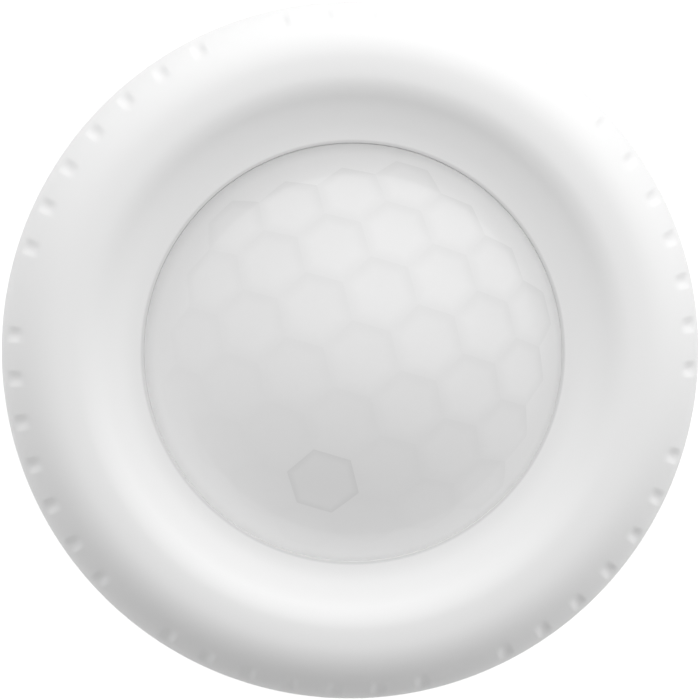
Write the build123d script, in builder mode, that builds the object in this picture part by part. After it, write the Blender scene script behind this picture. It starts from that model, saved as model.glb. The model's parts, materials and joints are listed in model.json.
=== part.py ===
"""Flush ceiling motion sensor for high rooms: twist-off fascia ring, dome lens and spring clips.

The origin is the centre of the ceiling cut-out, at the face of the ceiling. +Z points into the
room, and +Y is the side of the terminal cover's hinge. All sizes are in millimetres.
"""
import os
from math import atan2, cos, degrees, hypot, radians, sin, sqrt

from build123d import *

# Fits and clearances
turn_gap = 0.3
slip_gap = 0.2
pin_gap = 0.05
seat_gap = 0.4
small_chamfer = 0.4

# Lens dome
lens_radius = 23.85
lens_wall = 1.0
lens_flange_width = 3.35
lens_flange_thickness = 1.2
lenslet_pitch = 18.2
lenslet_turn = 10.0
lenslet_rings = 3
lenslet_bulge = 0.35
window_bulge = 0.1
window_steps = 2

# Fascia ring
face_width = 15.85
ring_wall = 1.8
lip_thickness = 1.6
lip_round = 0.35
valley_width = 2.3
valley_rise = 0.28
valley_tilt = 0.05
steep_inset = 2.6
steep_fall = 0.62
crest_rise = 1.8
plateau_width = 2.0
plateau_fall = 0.12
plateau_tilt = 0.115
shoulder_fullness = 1.15
side_fullness = 1.3
shoulder_width = 6.3
shoulder_drop = 9.2
inside_drop = 7.4
rim_height = 0.4
under_slope = 4.2

# Finger notches on the shoulder
notch_groups = 6
notches_in_group = 7
notch_pitch = 7.5
notch_turn = 19.5
notch_radius = 0.62
notch_depth = 0.34
notch_length = 5.0
notch_place = 0.5

# Bayonet between the ring and the housing
bayonet_count = 3
bayonet_turn = 10.0
lug_span = 22.0
hook_span = 20.0
stop_span = 3.0
lug_reach = 1.6
lug_height = 1.4
foot_height = 1.4
foot_lift = 1.0
hook_wall = 1.4
hook_root = 0.4
stop_slack = 0.6

# Lens retainer and inner frame
retainer_thickness = 1.0
retainer_lip = 0.35
retainer_foot_width = 3.4
frame_flange_thickness = 2.0
frame_floor_thickness = 1.2
frame_collar_inset = 2.45
frame_collar_wall = 1.0
frame_collar_height = 4.6
frame_skirt_wall = 1.6
frame_skirt_depth = 6.4
seal_width = 1.2
seal_height = 1.1
retainer_screw_turn = 30.0
retainer_screw_count = 3
small_screw_radius = 0.9
small_head_radius = 1.7
small_head_height = 1.1
head_sink = 0.9
head_round = 0.45
screw_bite = 3.2

# Housing
can_outset = 1.8
can_wall = 2.0
can_depth = 38.0
flange_thickness = 2.4
collar_wall = 1.8
collar_rise_over_lug = 0.2
gasket_width = 1.8
gasket_thickness = 1.0
gasket_inset = 1.2
rib_count = 12
rib_thickness = 1.0
rib_reach = 0.5
rib_length = 12.0
rib_turn = 15.0

# Spring clips
pivot_depth = 24.0
pin_radius = 0.8
pin_head_radius = 1.5
pin_head_height = 0.6
hub_radius = 2.4
ear_inner = 6.2
ear_thickness = 1.6
arm_plate_thickness = 0.7
arm_length = 23.0
arm_tilt = 12.0
arm_tip_length = 4.0
pad_length = 6.0
pad_wall = 0.5
coil_wire_radius = 0.3
coil_turns = 8
coil_pitch = 0.55
coil_tail = 8.0
tail_wire_radius = 0.27

# Sensor board and what stands on it
board_thickness = 1.6
boss_height = 1.6
boss_radius = 2.4
sensor_board_inset = 3.2
board_screw_place = 14.0
board_screw_turn = 35.0
board_screw_length = 3.4
spacer_radius = 5.0
spacer_height = 2.0
pyro_radius = 4.6
pyro_base_radius = 4.9
pyro_base_height = 0.6
pyro_height = 4.2
pyro_window_width = 5.2
pyro_window_height = 4.2
pyro_window_thickness = 0.5
pyro_round = 0.5
pyro_hole_gap = 0.6
light_sensor_width = 4.4
light_sensor_depth = 3.2
light_sensor_height = 4.0
light_sensor_place = 10.5
lamp_radius = 1.5
lamp_height = 4.4
lamp_place = 11.0
lamp_turn = 100.0
part_hole_gap = 0.4

# Power board and what stands on it
power_board_inset = 1.6
post_height = 8.4
post_radius = 2.6
post_inset = 7.0
post_turn = 115.0
relay_length = 19.0
relay_width = 10.0
relay_height = 15.2
relay_x = -9.5
relay_y = 9.0
bulk_radius = 5.0
bulk_height = 13.0
bulk_x = 9.5
bulk_y = 11.0
film_length = 13.0
film_width = 6.0
film_height = 11.0
film_round = 0.8
film_x = -11.0
film_y = -4.0
choke_radius = 4.0
choke_height = 10.0
choke_x = 12.0
choke_y = -2.0
fuse_radius = 2.1
fuse_height = 8.0
fuse_x = 3.0
fuse_y = -4.0
ribbon_width = 9.0
ribbon_thickness = 0.6
ribbon_x = -2.0
ribbon_y = -19.0
trimmer_size = 6.6
trimmer_height = 5.0

# Rear cover, terminals, dials and cable clamp
cover_plate_thickness = 2.0
spigot_depth = 3.0
spigot_wall = 1.8
rear_screw_inset = 3.1
rear_screw_count = 2
rear_screw_radius = 1.2
rear_screw_length = 7.0
rear_head_radius = 2.1
rear_head_height = 1.5
rear_boss_radius = 3.6
rear_boss_height = 7.0
poles = 5
pole_pitch = 5.0
block_end = 1.4
block_depth = 13.0
block_height = 10.4
block_y = 4.5
entry_radius = 1.4
entry_length = 8.0
entry_height = 3.2
button_width = 3.2
button_depth = 4.2
button_length = 6.0
button_proud = 1.0
button_slot_depth = 7.4
terminal_pin_width = 1.0
dial_radius = 3.1
dial_height = 2.6
dial_shaft_radius = 1.6
dial_gap = 0.8
dial_y = 8.0
dial_slot_width = 0.9
dial_slot_depth = 1.0
clamp_y = -13.5
clamp_post_x = 9.0
clamp_post_radius = 3.0
clamp_post_height = 5.0
clamp_bar_width = 6.4
clamp_bar_height = 3.4
cable_radius = 4.4
clamp_arch = 2.0
clamp_screw_radius = 1.2
clamp_head_radius = 2.2
clamp_head_height = 1.4

# Terminal cover and its hinge
lid_inset = 1.0
lid_depth = 13.6
lid_wall = 1.6
lid_lift = 0.3
lid_hinge_inset = 9.6
lid_cable_inset = 7.4
lid_edge_round = 1.6
knuckle_radius = 2.2
hinge_pin_radius = 1.0
hinge_length = 26.0
mid_knuckle_length = 11.0
rim_fence_height = 2.2
rim_fence_length = 4.5
rim_fence_width = 1.0
entry_notch_width = 9.6
entry_notch_height = 8.0

# Worked-out radii and heights
dome_inner_radius = lens_radius - lens_wall
opening_radius = lens_radius + turn_gap
face_radius = opening_radius + face_width
ring_inner_radius = face_radius - ring_wall
flange_radius = ring_inner_radius - seat_gap
lens_flange_radius = lens_radius + lens_flange_width
can_radius = lens_flange_radius + can_outset
retainer_foot_inner = lens_flange_radius + slip_gap
retainer_radius = retainer_foot_inner + retainer_foot_width
frame_flange_radius = retainer_radius + turn_gap
collar_inner = frame_flange_radius + turn_gap
collar_outer = collar_inner + collar_wall
lug_outer = collar_outer + lug_reach
hook_inner = lug_outer + seat_gap
can_inner = can_radius - can_wall
skirt_outer = can_inner - slip_gap
frame_collar_radius = dome_inner_radius - frame_collar_inset
sensor_board_radius = skirt_outer - frame_skirt_wall - sensor_board_inset
power_board_radius = can_inner - power_board_inset
post_place = can_inner - post_inset
rear_screw_place = can_inner - rear_screw_inset
frame_top = flange_thickness + frame_flange_thickness
lens_flange_top = frame_top + lens_flange_thickness
retainer_top = lens_flange_top + retainer_thickness
lip_under = retainer_top + seat_gap
valley_height = lip_under + lip_thickness
crest_height = valley_height + crest_rise
foot_low = flange_thickness + foot_lift
foot_high = foot_low + foot_height
lug_low = foot_high + seat_gap
lug_high = lug_low + lug_height
collar_top = lug_high + collar_rise_over_lug
floor_low = frame_top - frame_floor_thickness
sensor_board_top = floor_low - boss_height
sensor_board_low = sensor_board_top - board_thickness
rear_face = -can_depth - cover_plate_thickness
power_board_low = -can_depth + post_height
power_board_top = power_board_low + board_thickness
block_length = poles * pole_pitch + 2 * block_end
dial_x = block_length / 2 + dial_gap + dial_radius
lid_hinge_flat = can_radius - lid_hinge_inset
lid_cable_flat = lid_cable_inset - can_radius
pivot_x = can_radius + hub_radius + seat_gap
retainer_screw_place = (retainer_foot_inner + retainer_radius) / 2


def curved_block(inner, outer, low, high, span):
    """A block bent about the sensor's axis, centred on the +X side."""
    with BuildPart() as block:
        with BuildSketch(Plane.XZ):
            with Locations(((inner + outer) / 2, (low + high) / 2)):
                Rectangle(outer - inner, high - low)
        revolve(axis=Axis.Z, revolution_arc=span)
    return block.part.rotate(Axis.Z, -span / 2)


def tube(inner, outer, low, high):
    """A plain ring about the sensor's axis."""
    with BuildPart() as ring:
        with BuildSketch(Plane.XY.offset(low)):
            Circle(outer)
            Circle(inner, mode=Mode.SUBTRACT)
        extrude(amount=high - low)
    return ring.part


def pan_screw(shank_radius, head_radius, shank_length, head_height):
    """A pan-head screw with its head's seat at the origin and its shank along -Z."""
    with BuildPart() as screw:
        Cylinder(shank_radius, shank_length, align=(Align.CENTER, Align.CENTER, Align.MAX))
        with BuildSketch(Plane.XY):
            Circle(head_radius)
        extrude(amount=head_height)
        fillet(screw.edges().group_by(Axis.Z)[-1], head_height * head_round)
    return screw.part


# Fascia ring: a shell with a dished inside, a soft crest and a wide round shoulder
shoulder_radius = face_radius - shoulder_width
crest_radius = shoulder_radius - plateau_width
valley_edge = opening_radius + valley_width
steep_radius = crest_radius - steep_inset
steep_height = valley_height + crest_rise - steep_fall
dish_curve = Spline(
    (opening_radius + lip_round, valley_height),
    (valley_edge, valley_height + valley_rise),
    (steep_radius, steep_height),
    (crest_radius, crest_height),
    tangents=((1, valley_tilt), (1, 0)),
)
plateau_curve = Spline(
    (crest_radius, crest_height),
    (shoulder_radius, crest_height - plateau_fall),
    tangents=((1, 0), (1, -plateau_tilt)),
)
shoulder_curve = Spline(
    (shoulder_radius, crest_height - plateau_fall),
    (face_radius, crest_height - shoulder_drop),
    tangents=((1, -plateau_tilt), (0, -1)),
    tangent_scalars=(shoulder_fullness, side_fullness),
)
under_crest = crest_height - ring_wall
with BuildPart() as notch_cutter:
    notch_point = shoulder_curve @ notch_place
    notch_slope = shoulder_curve % notch_place
    stand_off = notch_radius - notch_depth
    notch_x = notch_point.X - notch_slope.Y * stand_off
    notch_z = notch_point.Y + notch_slope.X * stand_off
    with Locations(Plane((notch_x, 0, notch_z), z_dir=(notch_slope.X, 0, notch_slope.Y))):
        Cylinder(notch_radius, notch_length)
hook_wall_block = curved_block(hook_inner, hook_inner + hook_wall, foot_low, under_crest + hook_root, hook_span)
hook_foot_block = curved_block(collar_outer + seat_gap, hook_inner + hook_wall, foot_low, foot_high, hook_span)

with BuildPart() as fascia_ring:
    with BuildSketch(Plane.XZ):
        with BuildLine():
            Line((opening_radius, lip_under), (opening_radius, valley_height - lip_round))
            CenterArc((opening_radius + lip_round, valley_height - lip_round), lip_round, 90, 90)
            add(dish_curve)
            add(plateau_curve)
            add(shoulder_curve)
            Polyline(
                (face_radius, crest_height - shoulder_drop),
                (face_radius, rim_height),
                (ring_inner_radius, rim_height),
                (ring_inner_radius, crest_height - inside_drop),
            )
            Spline(
                (ring_inner_radius, crest_height - inside_drop),
                (shoulder_radius - plateau_fall, under_crest - plateau_fall),
                tangents=((0, 1), (-1, plateau_tilt)),
            )
            Polyline(
                (shoulder_radius - plateau_fall, under_crest - plateau_fall),
                (crest_radius - plateau_fall, under_crest),
                (crest_radius - under_slope, lip_under),
                (opening_radius, lip_under),
            )
        make_face()
    revolve(axis=Axis.Z)
    with PolarLocations(0, bayonet_count, start_angle=bayonet_turn):
        add(hook_wall_block)
        add(hook_foot_block)
    for place in range(notches_in_group):
        first = notch_turn + (place - (notches_in_group - 1) / 2) * notch_pitch
        with PolarLocations(0, notch_groups, start_angle=first):
            add(notch_cutter.part, mode=Mode.SUBTRACT)
fascia_ring.part.label = "fascia_ring"

# Lens dome: smooth outside, and a hexagon lattice of lenslets cut into the inside
with BuildPart() as dome_core:
    with BuildSketch(Plane.XZ):
        with BuildLine():
            Line((0, frame_top), (dome_inner_radius, frame_top))
            Line((dome_inner_radius, frame_top), (dome_inner_radius, valley_height))
            CenterArc((0, valley_height), dome_inner_radius, 0, 90)
            Line((0, valley_height + dome_inner_radius), (0, frame_top))
        make_face()
    revolve(axis=Axis.Z)
    for column in range(-lenslet_rings, lenslet_rings + 1):
        for row in range(-lenslet_rings, lenslet_rings + 1):
            if abs(column + row) <= lenslet_rings:
                across = column + row / 2
                up = row * sqrt(3) / 2
                azimuth = degrees(atan2(up, across)) + lenslet_turn
                polar = lenslet_pitch * hypot(across, up)
                outward = Vector(0, 0, 1).rotate(Axis.Y, polar).rotate(Axis.Z, azimuth)
                is_window = column == 0 and row == -window_steps
                bulge = window_bulge if is_window else lenslet_bulge
                facet = Plane((0, 0, valley_height), z_dir=outward).offset(dome_inner_radius - bulge)
                split(bisect_by=facet, keep=Keep.BOTTOM)

with BuildPart() as lens_dome:
    with BuildSketch(Plane.XZ):
        with BuildLine():
            Line((0, frame_top), (lens_flange_radius, frame_top))
            Line((lens_flange_radius, frame_top), (lens_flange_radius, lens_flange_top))
            Line((lens_flange_radius, lens_flange_top), (lens_radius, lens_flange_top))
            Line((lens_radius, lens_flange_top), (lens_radius, valley_height))
            CenterArc((0, valley_height), lens_radius, 0, 90)
            Line((0, valley_height + lens_radius), (0, frame_top))
        make_face()
    revolve(axis=Axis.Z)
    add(dome_core.part, mode=Mode.SUBTRACT)
lens_dome.part.label = "lens_dome"

# Lens seal: a flat-sided ring in the inner frame's groove
seal_inner = lens_radius + (lens_flange_width - seal_width) / 2
with BuildPart() as lens_seal:
    add(tube(seal_inner, seal_inner + seal_width, frame_top - seal_height, frame_top))
lens_seal.part.label = "lens_seal"

# Lens retainer: an angle-section ring that presses the lens flange onto its seal
with BuildPart() as lens_retainer:
    add(tube(lens_radius + retainer_lip, retainer_radius, lens_flange_top, retainer_top))
    add(tube(retainer_foot_inner, retainer_radius, frame_top, lens_flange_top))
    with BuildSketch(Plane.XY.offset(frame_top)):
        with PolarLocations(retainer_screw_place, retainer_screw_count, start_angle=retainer_screw_turn):
            Circle(small_screw_radius)
    extrude(amount=retainer_top - frame_top, mode=Mode.SUBTRACT)
    with BuildSketch(Plane.XY.offset(retainer_top)):
        with PolarLocations(retainer_screw_place, retainer_screw_count, start_angle=retainer_screw_turn):
            Circle(small_head_radius + slip_gap)
    extrude(amount=-head_sink, mode=Mode.SUBTRACT)
lens_retainer.part.label = "lens_retainer"

retainer_screw_length = retainer_top - head_sink - flange_thickness + screw_bite
retainer_screw = pan_screw(small_screw_radius, small_head_radius, retainer_screw_length, small_head_height)
with BuildPart() as retainer_screws:
    with Locations((0, 0, retainer_top - head_sink)):
        with PolarLocations(retainer_screw_place, retainer_screw_count, start_angle=retainer_screw_turn):
            add(retainer_screw)
retainer_screws.part.label = "retainer_screws"

# Inner frame: lens seat, the collar seen through the lens, a floor over the board and a skirt
frame_collar_inner = frame_collar_radius - frame_collar_wall
collar_edge = frame_top + frame_collar_height
light_sensor_azimuth = radians(lenslet_turn - 120)
light_sensor_x = light_sensor_place * cos(light_sensor_azimuth)
light_sensor_y = light_sensor_place * sin(light_sensor_azimuth)
lamp_x = lamp_place * cos(radians(lamp_turn))
lamp_y = lamp_place * sin(radians(lamp_turn))
with BuildPart() as inner_frame:
    add(tube(frame_collar_inner, frame_flange_radius, flange_thickness, frame_top))
    add(tube(frame_collar_inner, frame_collar_radius, frame_top, collar_edge))
    add(tube(skirt_outer - frame_skirt_wall, skirt_outer, flange_thickness - frame_skirt_depth, flange_thickness))
    with BuildSketch(Plane.XY.offset(floor_low)):
        Circle(frame_collar_inner + slip_gap)
    extrude(amount=frame_floor_thickness)
    with BuildSketch(Plane.XY.offset(sensor_board_top)):
        with PolarLocations(board_screw_place, 2, start_angle=board_screw_turn):
            Circle(boss_radius)
    extrude(amount=boss_height + frame_floor_thickness / 2)
    with BuildSketch(Plane.XY.offset(sensor_board_top)):
        with PolarLocations(board_screw_place, 2, start_angle=board_screw_turn):
            Circle(small_screw_radius)
    extrude(amount=board_screw_length - board_thickness, mode=Mode.SUBTRACT)
    with BuildSketch(Plane.XY.offset(floor_low)):
        Circle(pyro_base_radius + pyro_hole_gap)
        with Locations((light_sensor_x, light_sensor_y)):
            Rectangle(light_sensor_width + 2 * part_hole_gap, light_sensor_depth + 2 * part_hole_gap)
        with Locations((lamp_x, lamp_y)):
            Circle(lamp_radius + part_hole_gap)
    extrude(amount=frame_floor_thickness, mode=Mode.SUBTRACT)
    add(tube(seal_inner, seal_inner + seal_width, frame_top - seal_height, frame_top), mode=Mode.SUBTRACT)
    with BuildSketch(Plane.XY.offset(flange_thickness)):
        with PolarLocations(retainer_screw_place, retainer_screw_count, start_angle=retainer_screw_turn):
            Circle(small_screw_radius)
    extrude(amount=frame_flange_thickness, mode=Mode.SUBTRACT)
inner_frame.part.label = "inner_frame"

# Sensor board, held under the frame's floor by two screws
with BuildPart() as sensor_board:
    with BuildSketch(Plane.XY.offset(sensor_board_low)):
        Circle(sensor_board_radius)
        with PolarLocations(board_screw_place, 2, start_angle=board_screw_turn):
            Circle(small_screw_radius, mode=Mode.SUBTRACT)
    extrude(amount=board_thickness)
sensor_board.part.label = "sensor_board"

board_screw = pan_screw(small_screw_radius, small_head_radius, board_screw_length, small_head_height)
with BuildPart() as sensor_board_screws:
    with Locations(Location((0, 0, sensor_board_low), (180, 0, 0))):
        with PolarLocations(board_screw_place, 2, start_angle=-board_screw_turn):
            add(board_screw)
sensor_board_screws.part.label = "sensor_board_screws"

# Infrared sensor: a plastic spacer, a flanged metal can and a filter window let into its top
pyro_low = sensor_board_top + spacer_height
pyro_top = pyro_low + pyro_height
with BuildPart() as pyro_spacer:
    with BuildSketch(Plane.XY.offset(sensor_board_top)):
        Circle(spacer_radius)
    extrude(amount=spacer_height)
pyro_spacer.part.label = "pyro_spacer"

with BuildPart() as pyro_sensor:
    with BuildSketch(Plane.XY.offset(pyro_low)):
        Circle(pyro_base_radius)
    extrude(amount=pyro_base_height)
    with BuildSketch(Plane.XY.offset(pyro_low)):
        Circle(pyro_radius)
    extrude(amount=pyro_height)
    fillet(pyro_sensor.edges().group_by(Axis.Z)[-1], pyro_round)
    with BuildSketch(Plane.XY.offset(pyro_top)):
        Rectangle(pyro_window_width, pyro_window_height)
    extrude(amount=-pyro_window_thickness, mode=Mode.SUBTRACT)
pyro_sensor.part.label = "pyro_sensor"

with BuildPart() as pyro_window:
    with BuildSketch(Plane.XY.offset(pyro_top - pyro_window_thickness)):
        Rectangle(pyro_window_width, pyro_window_height)
    extrude(amount=pyro_window_thickness)
pyro_window.part.label = "pyro_window"

# Ambient light sensor under the clear hexagon of the lens
with BuildPart() as light_sensor:
    with BuildSketch(Plane.XY.offset(sensor_board_top)):
        with Locations((light_sensor_x, light_sensor_y)):
            Rectangle(light_sensor_width, light_sensor_depth)
    extrude(amount=light_sensor_height)
    chamfer(light_sensor.edges().group_by(Axis.Z)[-1], small_chamfer)
light_sensor.part.label = "light_sensor"

# Status lamp: a small round-nosed lamp
with BuildPart() as status_lamp:
    with BuildSketch(Plane.XY.offset(sensor_board_top)):
        with Locations((lamp_x, lamp_y)):
            Circle(lamp_radius)
    extrude(amount=lamp_height)
    fillet(status_lamp.edges().group_by(Axis.Z)[-1], lamp_radius - pin_gap)
status_lamp.part.label = "status_lamp"

# Housing: can, flange, bayonet collar, ribs and spring ears in one moulding
lug_block = curved_block(collar_outer - slip_gap, lug_outer, lug_low, lug_high, lug_span)
stop_block = curved_block(collar_outer - slip_gap, lug_outer, flange_thickness, lug_low, stop_span)
stop_turn = bayonet_turn - (hook_span + stop_span) / 2 - stop_slack
gasket_outer = flange_radius - gasket_inset
gasket_inner = gasket_outer - gasket_width
ear_outer = ear_inner + ear_thickness
with BuildPart() as ear_pair:
    with BuildSketch(Plane.XZ.offset(-ear_outer)):
        with Locations(((can_inner + pivot_x) / 2 + slip_gap, -pivot_depth)):
            Rectangle(pivot_x - can_inner - 2 * slip_gap, 2 * hub_radius)
        with Locations((pivot_x, -pivot_depth)):
            Circle(hub_radius)
            Circle(pin_radius, mode=Mode.SUBTRACT)
    extrude(amount=2 * ear_outer)
    with BuildSketch(Plane.XZ.offset(-ear_inner)):
        with Locations(((can_radius + pivot_x) / 2, -pivot_depth)):
            Rectangle(2 * pivot_x - 2 * can_radius + 2 * hub_radius, 4 * hub_radius)
    extrude(amount=2 * ear_inner, mode=Mode.SUBTRACT)

with BuildPart() as rib:
    with BuildSketch(Plane.XY):
        with Locations((can_radius, 0)):
            Rectangle(2 * rib_reach, rib_thickness)
    extrude(amount=-rib_length)

with BuildPart() as housing:
    add(tube(can_inner, can_radius, -can_depth, flange_thickness))
    add(tube(can_inner, flange_radius, 0, flange_thickness))
    add(tube(collar_inner, collar_outer, flange_thickness, collar_top))
    add(tube(gasket_inner, gasket_outer, 0, gasket_thickness), mode=Mode.SUBTRACT)
    with PolarLocations(0, bayonet_count, start_angle=bayonet_turn):
        add(lug_block)
    with PolarLocations(0, bayonet_count, start_angle=stop_turn):
        add(stop_block)
    with PolarLocations(0, rib_count, start_angle=rib_turn):
        add(rib.part)
    with PolarLocations(0, 2):
        add(ear_pair.part)
    with BuildSketch(Plane.XY.offset(-can_depth)):
        with PolarLocations(rear_screw_place, rear_screw_count):
            Circle(rear_boss_radius)
            Circle(rear_screw_radius, mode=Mode.SUBTRACT)
    extrude(amount=rear_boss_height)
    with BuildSketch(Plane.XY.offset(flange_thickness)):
        with PolarLocations(retainer_screw_place, retainer_screw_count, start_angle=retainer_screw_turn):
            Circle(small_screw_radius)
    extrude(amount=-screw_bite, mode=Mode.SUBTRACT)
housing.part.label = "housing"

# Ceiling gasket, flush in the flange's back
with BuildPart() as ceiling_gasket:
    add(tube(gasket_inner, gasket_outer, 0, gasket_thickness))
ceiling_gasket.part.label = "ceiling_gasket"

# Spring clips: pin, coil, stamped arm and rubber pad, made on +X and turned to -X
with BuildPart() as clip_pin:
    with BuildSketch(Plane.XZ.offset(-ear_outer)):
        with Locations((pivot_x, -pivot_depth)):
            Circle(pin_radius)
    extrude(amount=2 * ear_outer)
    for side in (-1, 1):
        with BuildSketch(Plane.XZ.offset(side * ear_outer)):
            with Locations((pivot_x, -pivot_depth)):
                Circle(pin_head_radius)
        extrude(amount=side * pin_head_height)

arm_hub_outer = ear_inner - turn_gap
arm_hub_inner = arm_hub_outer - arm_plate_thickness
arm_plane = Plane(
    (pivot_x, 0, -pivot_depth), x_dir=(sin(radians(arm_tilt)), 0, cos(radians(arm_tilt))), z_dir=(0, -1, 0)
)
plate_low = hub_radius - arm_plate_thickness
with BuildPart() as clip_arm:
    with BuildSketch(arm_plane.offset(-arm_hub_outer)):
        with BuildLine():
            Line((0, -hub_radius), (arm_length - arm_tip_length, -hub_radius))
            Line((arm_length - arm_tip_length, -hub_radius), (arm_length, -plate_low))
            Line((arm_length, -plate_low), (arm_length - arm_tip_length, -plate_low))
            Line((arm_length - arm_tip_length, -plate_low), (hub_radius, -plate_low))
            Line((hub_radius, -plate_low), (hub_radius, 0))
            CenterArc((0, 0), hub_radius, 0, 270)
        make_face()
        Circle(pin_radius + pin_gap, mode=Mode.SUBTRACT)
    extrude(amount=2 * arm_hub_outer)
    with BuildSketch(arm_plane.offset(-arm_hub_inner)):
        with Locations((0, hub_radius - plate_low)):
            Rectangle(4 * hub_radius, 2 * hub_radius)
    extrude(amount=2 * arm_hub_inner, mode=Mode.SUBTRACT)

with BuildPart() as clip_pad:
    with BuildSketch(arm_plane.offset(-arm_hub_outer - pad_wall)):
        with Locations((arm_length - arm_tip_length - pad_length / 2, -(hub_radius + plate_low) / 2)):
            Rectangle(pad_length, arm_plate_thickness + 2 * pad_wall)
    extrude(amount=2 * (arm_hub_outer + pad_wall))
    with BuildSketch(arm_plane.offset(-arm_hub_outer)):
        with Locations((arm_length - arm_tip_length - pad_length / 2, -(hub_radius + plate_low) / 2)):
            Rectangle(pad_length, arm_plate_thickness)
    extrude(amount=2 * arm_hub_outer, mode=Mode.SUBTRACT)

coil_mean = pin_radius + slip_gap / 2 + coil_wire_radius
coil_half = (coil_turns - 1) * coil_pitch / 2
with BuildPart() as clip_spring:
    with BuildSketch(Plane.XY.offset(-pivot_depth)):
        with Locations((pivot_x - coil_mean, 0)):
            with GridLocations(0, coil_pitch, 1, coil_turns):
                Circle(coil_wire_radius)
        with Locations((pivot_x - coil_mean + coil_wire_radius / 2, 0)):
            Rectangle(coil_wire_radius, 2 * coil_half)
    revolve(axis=Axis((pivot_x, 0, -pivot_depth), (0, 1, 0)))
    with BuildSketch(Plane.XY.offset(-pivot_depth)):
        with Locations((pivot_x - coil_mean, coil_half)):
            Circle(tail_wire_radius)
    extrude(amount=coil_tail)

sides = {"right": 0, "left": 180}
clips = []
for side_name, turn in sides.items():
    for piece_name, piece in (
        ("clip_pin", clip_pin),
        ("clip_arm", clip_arm),
        ("clip_pad", clip_pad),
        ("clip_spring", clip_spring),
    ):
        with BuildPart() as placed:
            add(piece.part, rotation=(0, 0, turn))
        placed.part.label = f"{piece_name}_{side_name}"
        clips.append(placed)

# Power board on two posts of the rear cover
with BuildPart() as power_board:
    with BuildSketch(Plane.XY.offset(power_board_low)):
        Circle(power_board_radius)
        with PolarLocations(post_place, 2, start_angle=post_turn):
            Circle(small_screw_radius, mode=Mode.SUBTRACT)
    extrude(amount=board_thickness)
    with BuildSketch(Plane.XY.offset(power_board_low)):
        with Locations((0, block_y)):
            with GridLocations(pole_pitch, 0, poles, 1):
                Rectangle(terminal_pin_width, terminal_pin_width)
    extrude(amount=board_thickness, mode=Mode.SUBTRACT)
power_board.part.label = "power_board"

with BuildPart() as power_board_screws:
    with Locations((0, 0, power_board_top)):
        with PolarLocations(post_place, 2, start_angle=post_turn):
            add(board_screw)
power_board_screws.part.label = "power_board_screws"

with BuildPart() as relay:
    with BuildSketch(Plane.XY.offset(power_board_top)):
        with Locations((relay_x, relay_y)):
            Rectangle(relay_length, relay_width)
    extrude(amount=relay_height)
    chamfer(relay.edges().group_by(Axis.Z)[-1], small_chamfer)
relay.part.label = "relay"

with BuildPart() as bulk_capacitor:
    with BuildSketch(Plane.XY.offset(power_board_top)):
        with Locations((bulk_x, bulk_y)):
            Circle(bulk_radius)
    extrude(amount=bulk_height)
    fillet(bulk_capacitor.edges().group_by(Axis.Z)[-1], small_chamfer)
bulk_capacitor.part.label = "bulk_capacitor"

with BuildPart() as film_capacitor:
    with BuildSketch(Plane.XY.offset(power_board_top)):
        with Locations((film_x, film_y)):
            RectangleRounded(film_length, film_width, film_round)
    extrude(amount=film_height)
film_capacitor.part.label = "film_capacitor"

with BuildPart() as choke:
    with BuildSketch(Plane.XY.offset(power_board_top)):
        with Locations((choke_x, choke_y)):
            Circle(choke_radius)
    extrude(amount=choke_height)
choke.part.label = "choke"

with BuildPart() as fuse:
    with BuildSketch(Plane.XY.offset(power_board_top)):
        with Locations((fuse_x, fuse_y)):
            Circle(fuse_radius)
    extrude(amount=fuse_height)
fuse.part.label = "fuse"

with BuildPart() as ribbon:
    with BuildSketch(Plane.XY.offset(power_board_top)):
        with Locations((ribbon_x, ribbon_y)):
            Rectangle(ribbon_width, ribbon_thickness)
    extrude(amount=sensor_board_low - power_board_top)
ribbon.part.label = "ribbon"

with BuildPart() as trimmers:
    with BuildSketch(Plane.XY.offset(power_board_low)):
        for side in (-1, 1):
            with Locations((side * dial_x, dial_y)):
                Rectangle(trimmer_size, trimmer_size)
                Circle(dial_shaft_radius + pin_gap, mode=Mode.SUBTRACT)
    extrude(amount=-trimmer_height)
trimmers.part.label = "trimmers"

# Rear cover: plate, spigot, posts, hinge knuckle, rim fence and cable clamp posts
spigot_outer = can_inner - slip_gap
hinge_y = lid_hinge_flat + knuckle_radius + lid_lift
hinge_z = rear_face - lid_lift - knuckle_radius
lid_radius = can_radius - lid_inset
with BuildPart() as mid_knuckle:
    with BuildSketch(Plane.YZ.offset(-mid_knuckle_length / 2)):
        with Locations((hinge_y, hinge_z)):
            Circle(knuckle_radius)
        with Locations((hinge_y, (hinge_z + rear_face) / 2)):
            Rectangle(2 * knuckle_radius, rear_face - hinge_z)
        with Locations((hinge_y, hinge_z)):
            Circle(hinge_pin_radius, mode=Mode.SUBTRACT)
    extrude(amount=mid_knuckle_length)

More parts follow.
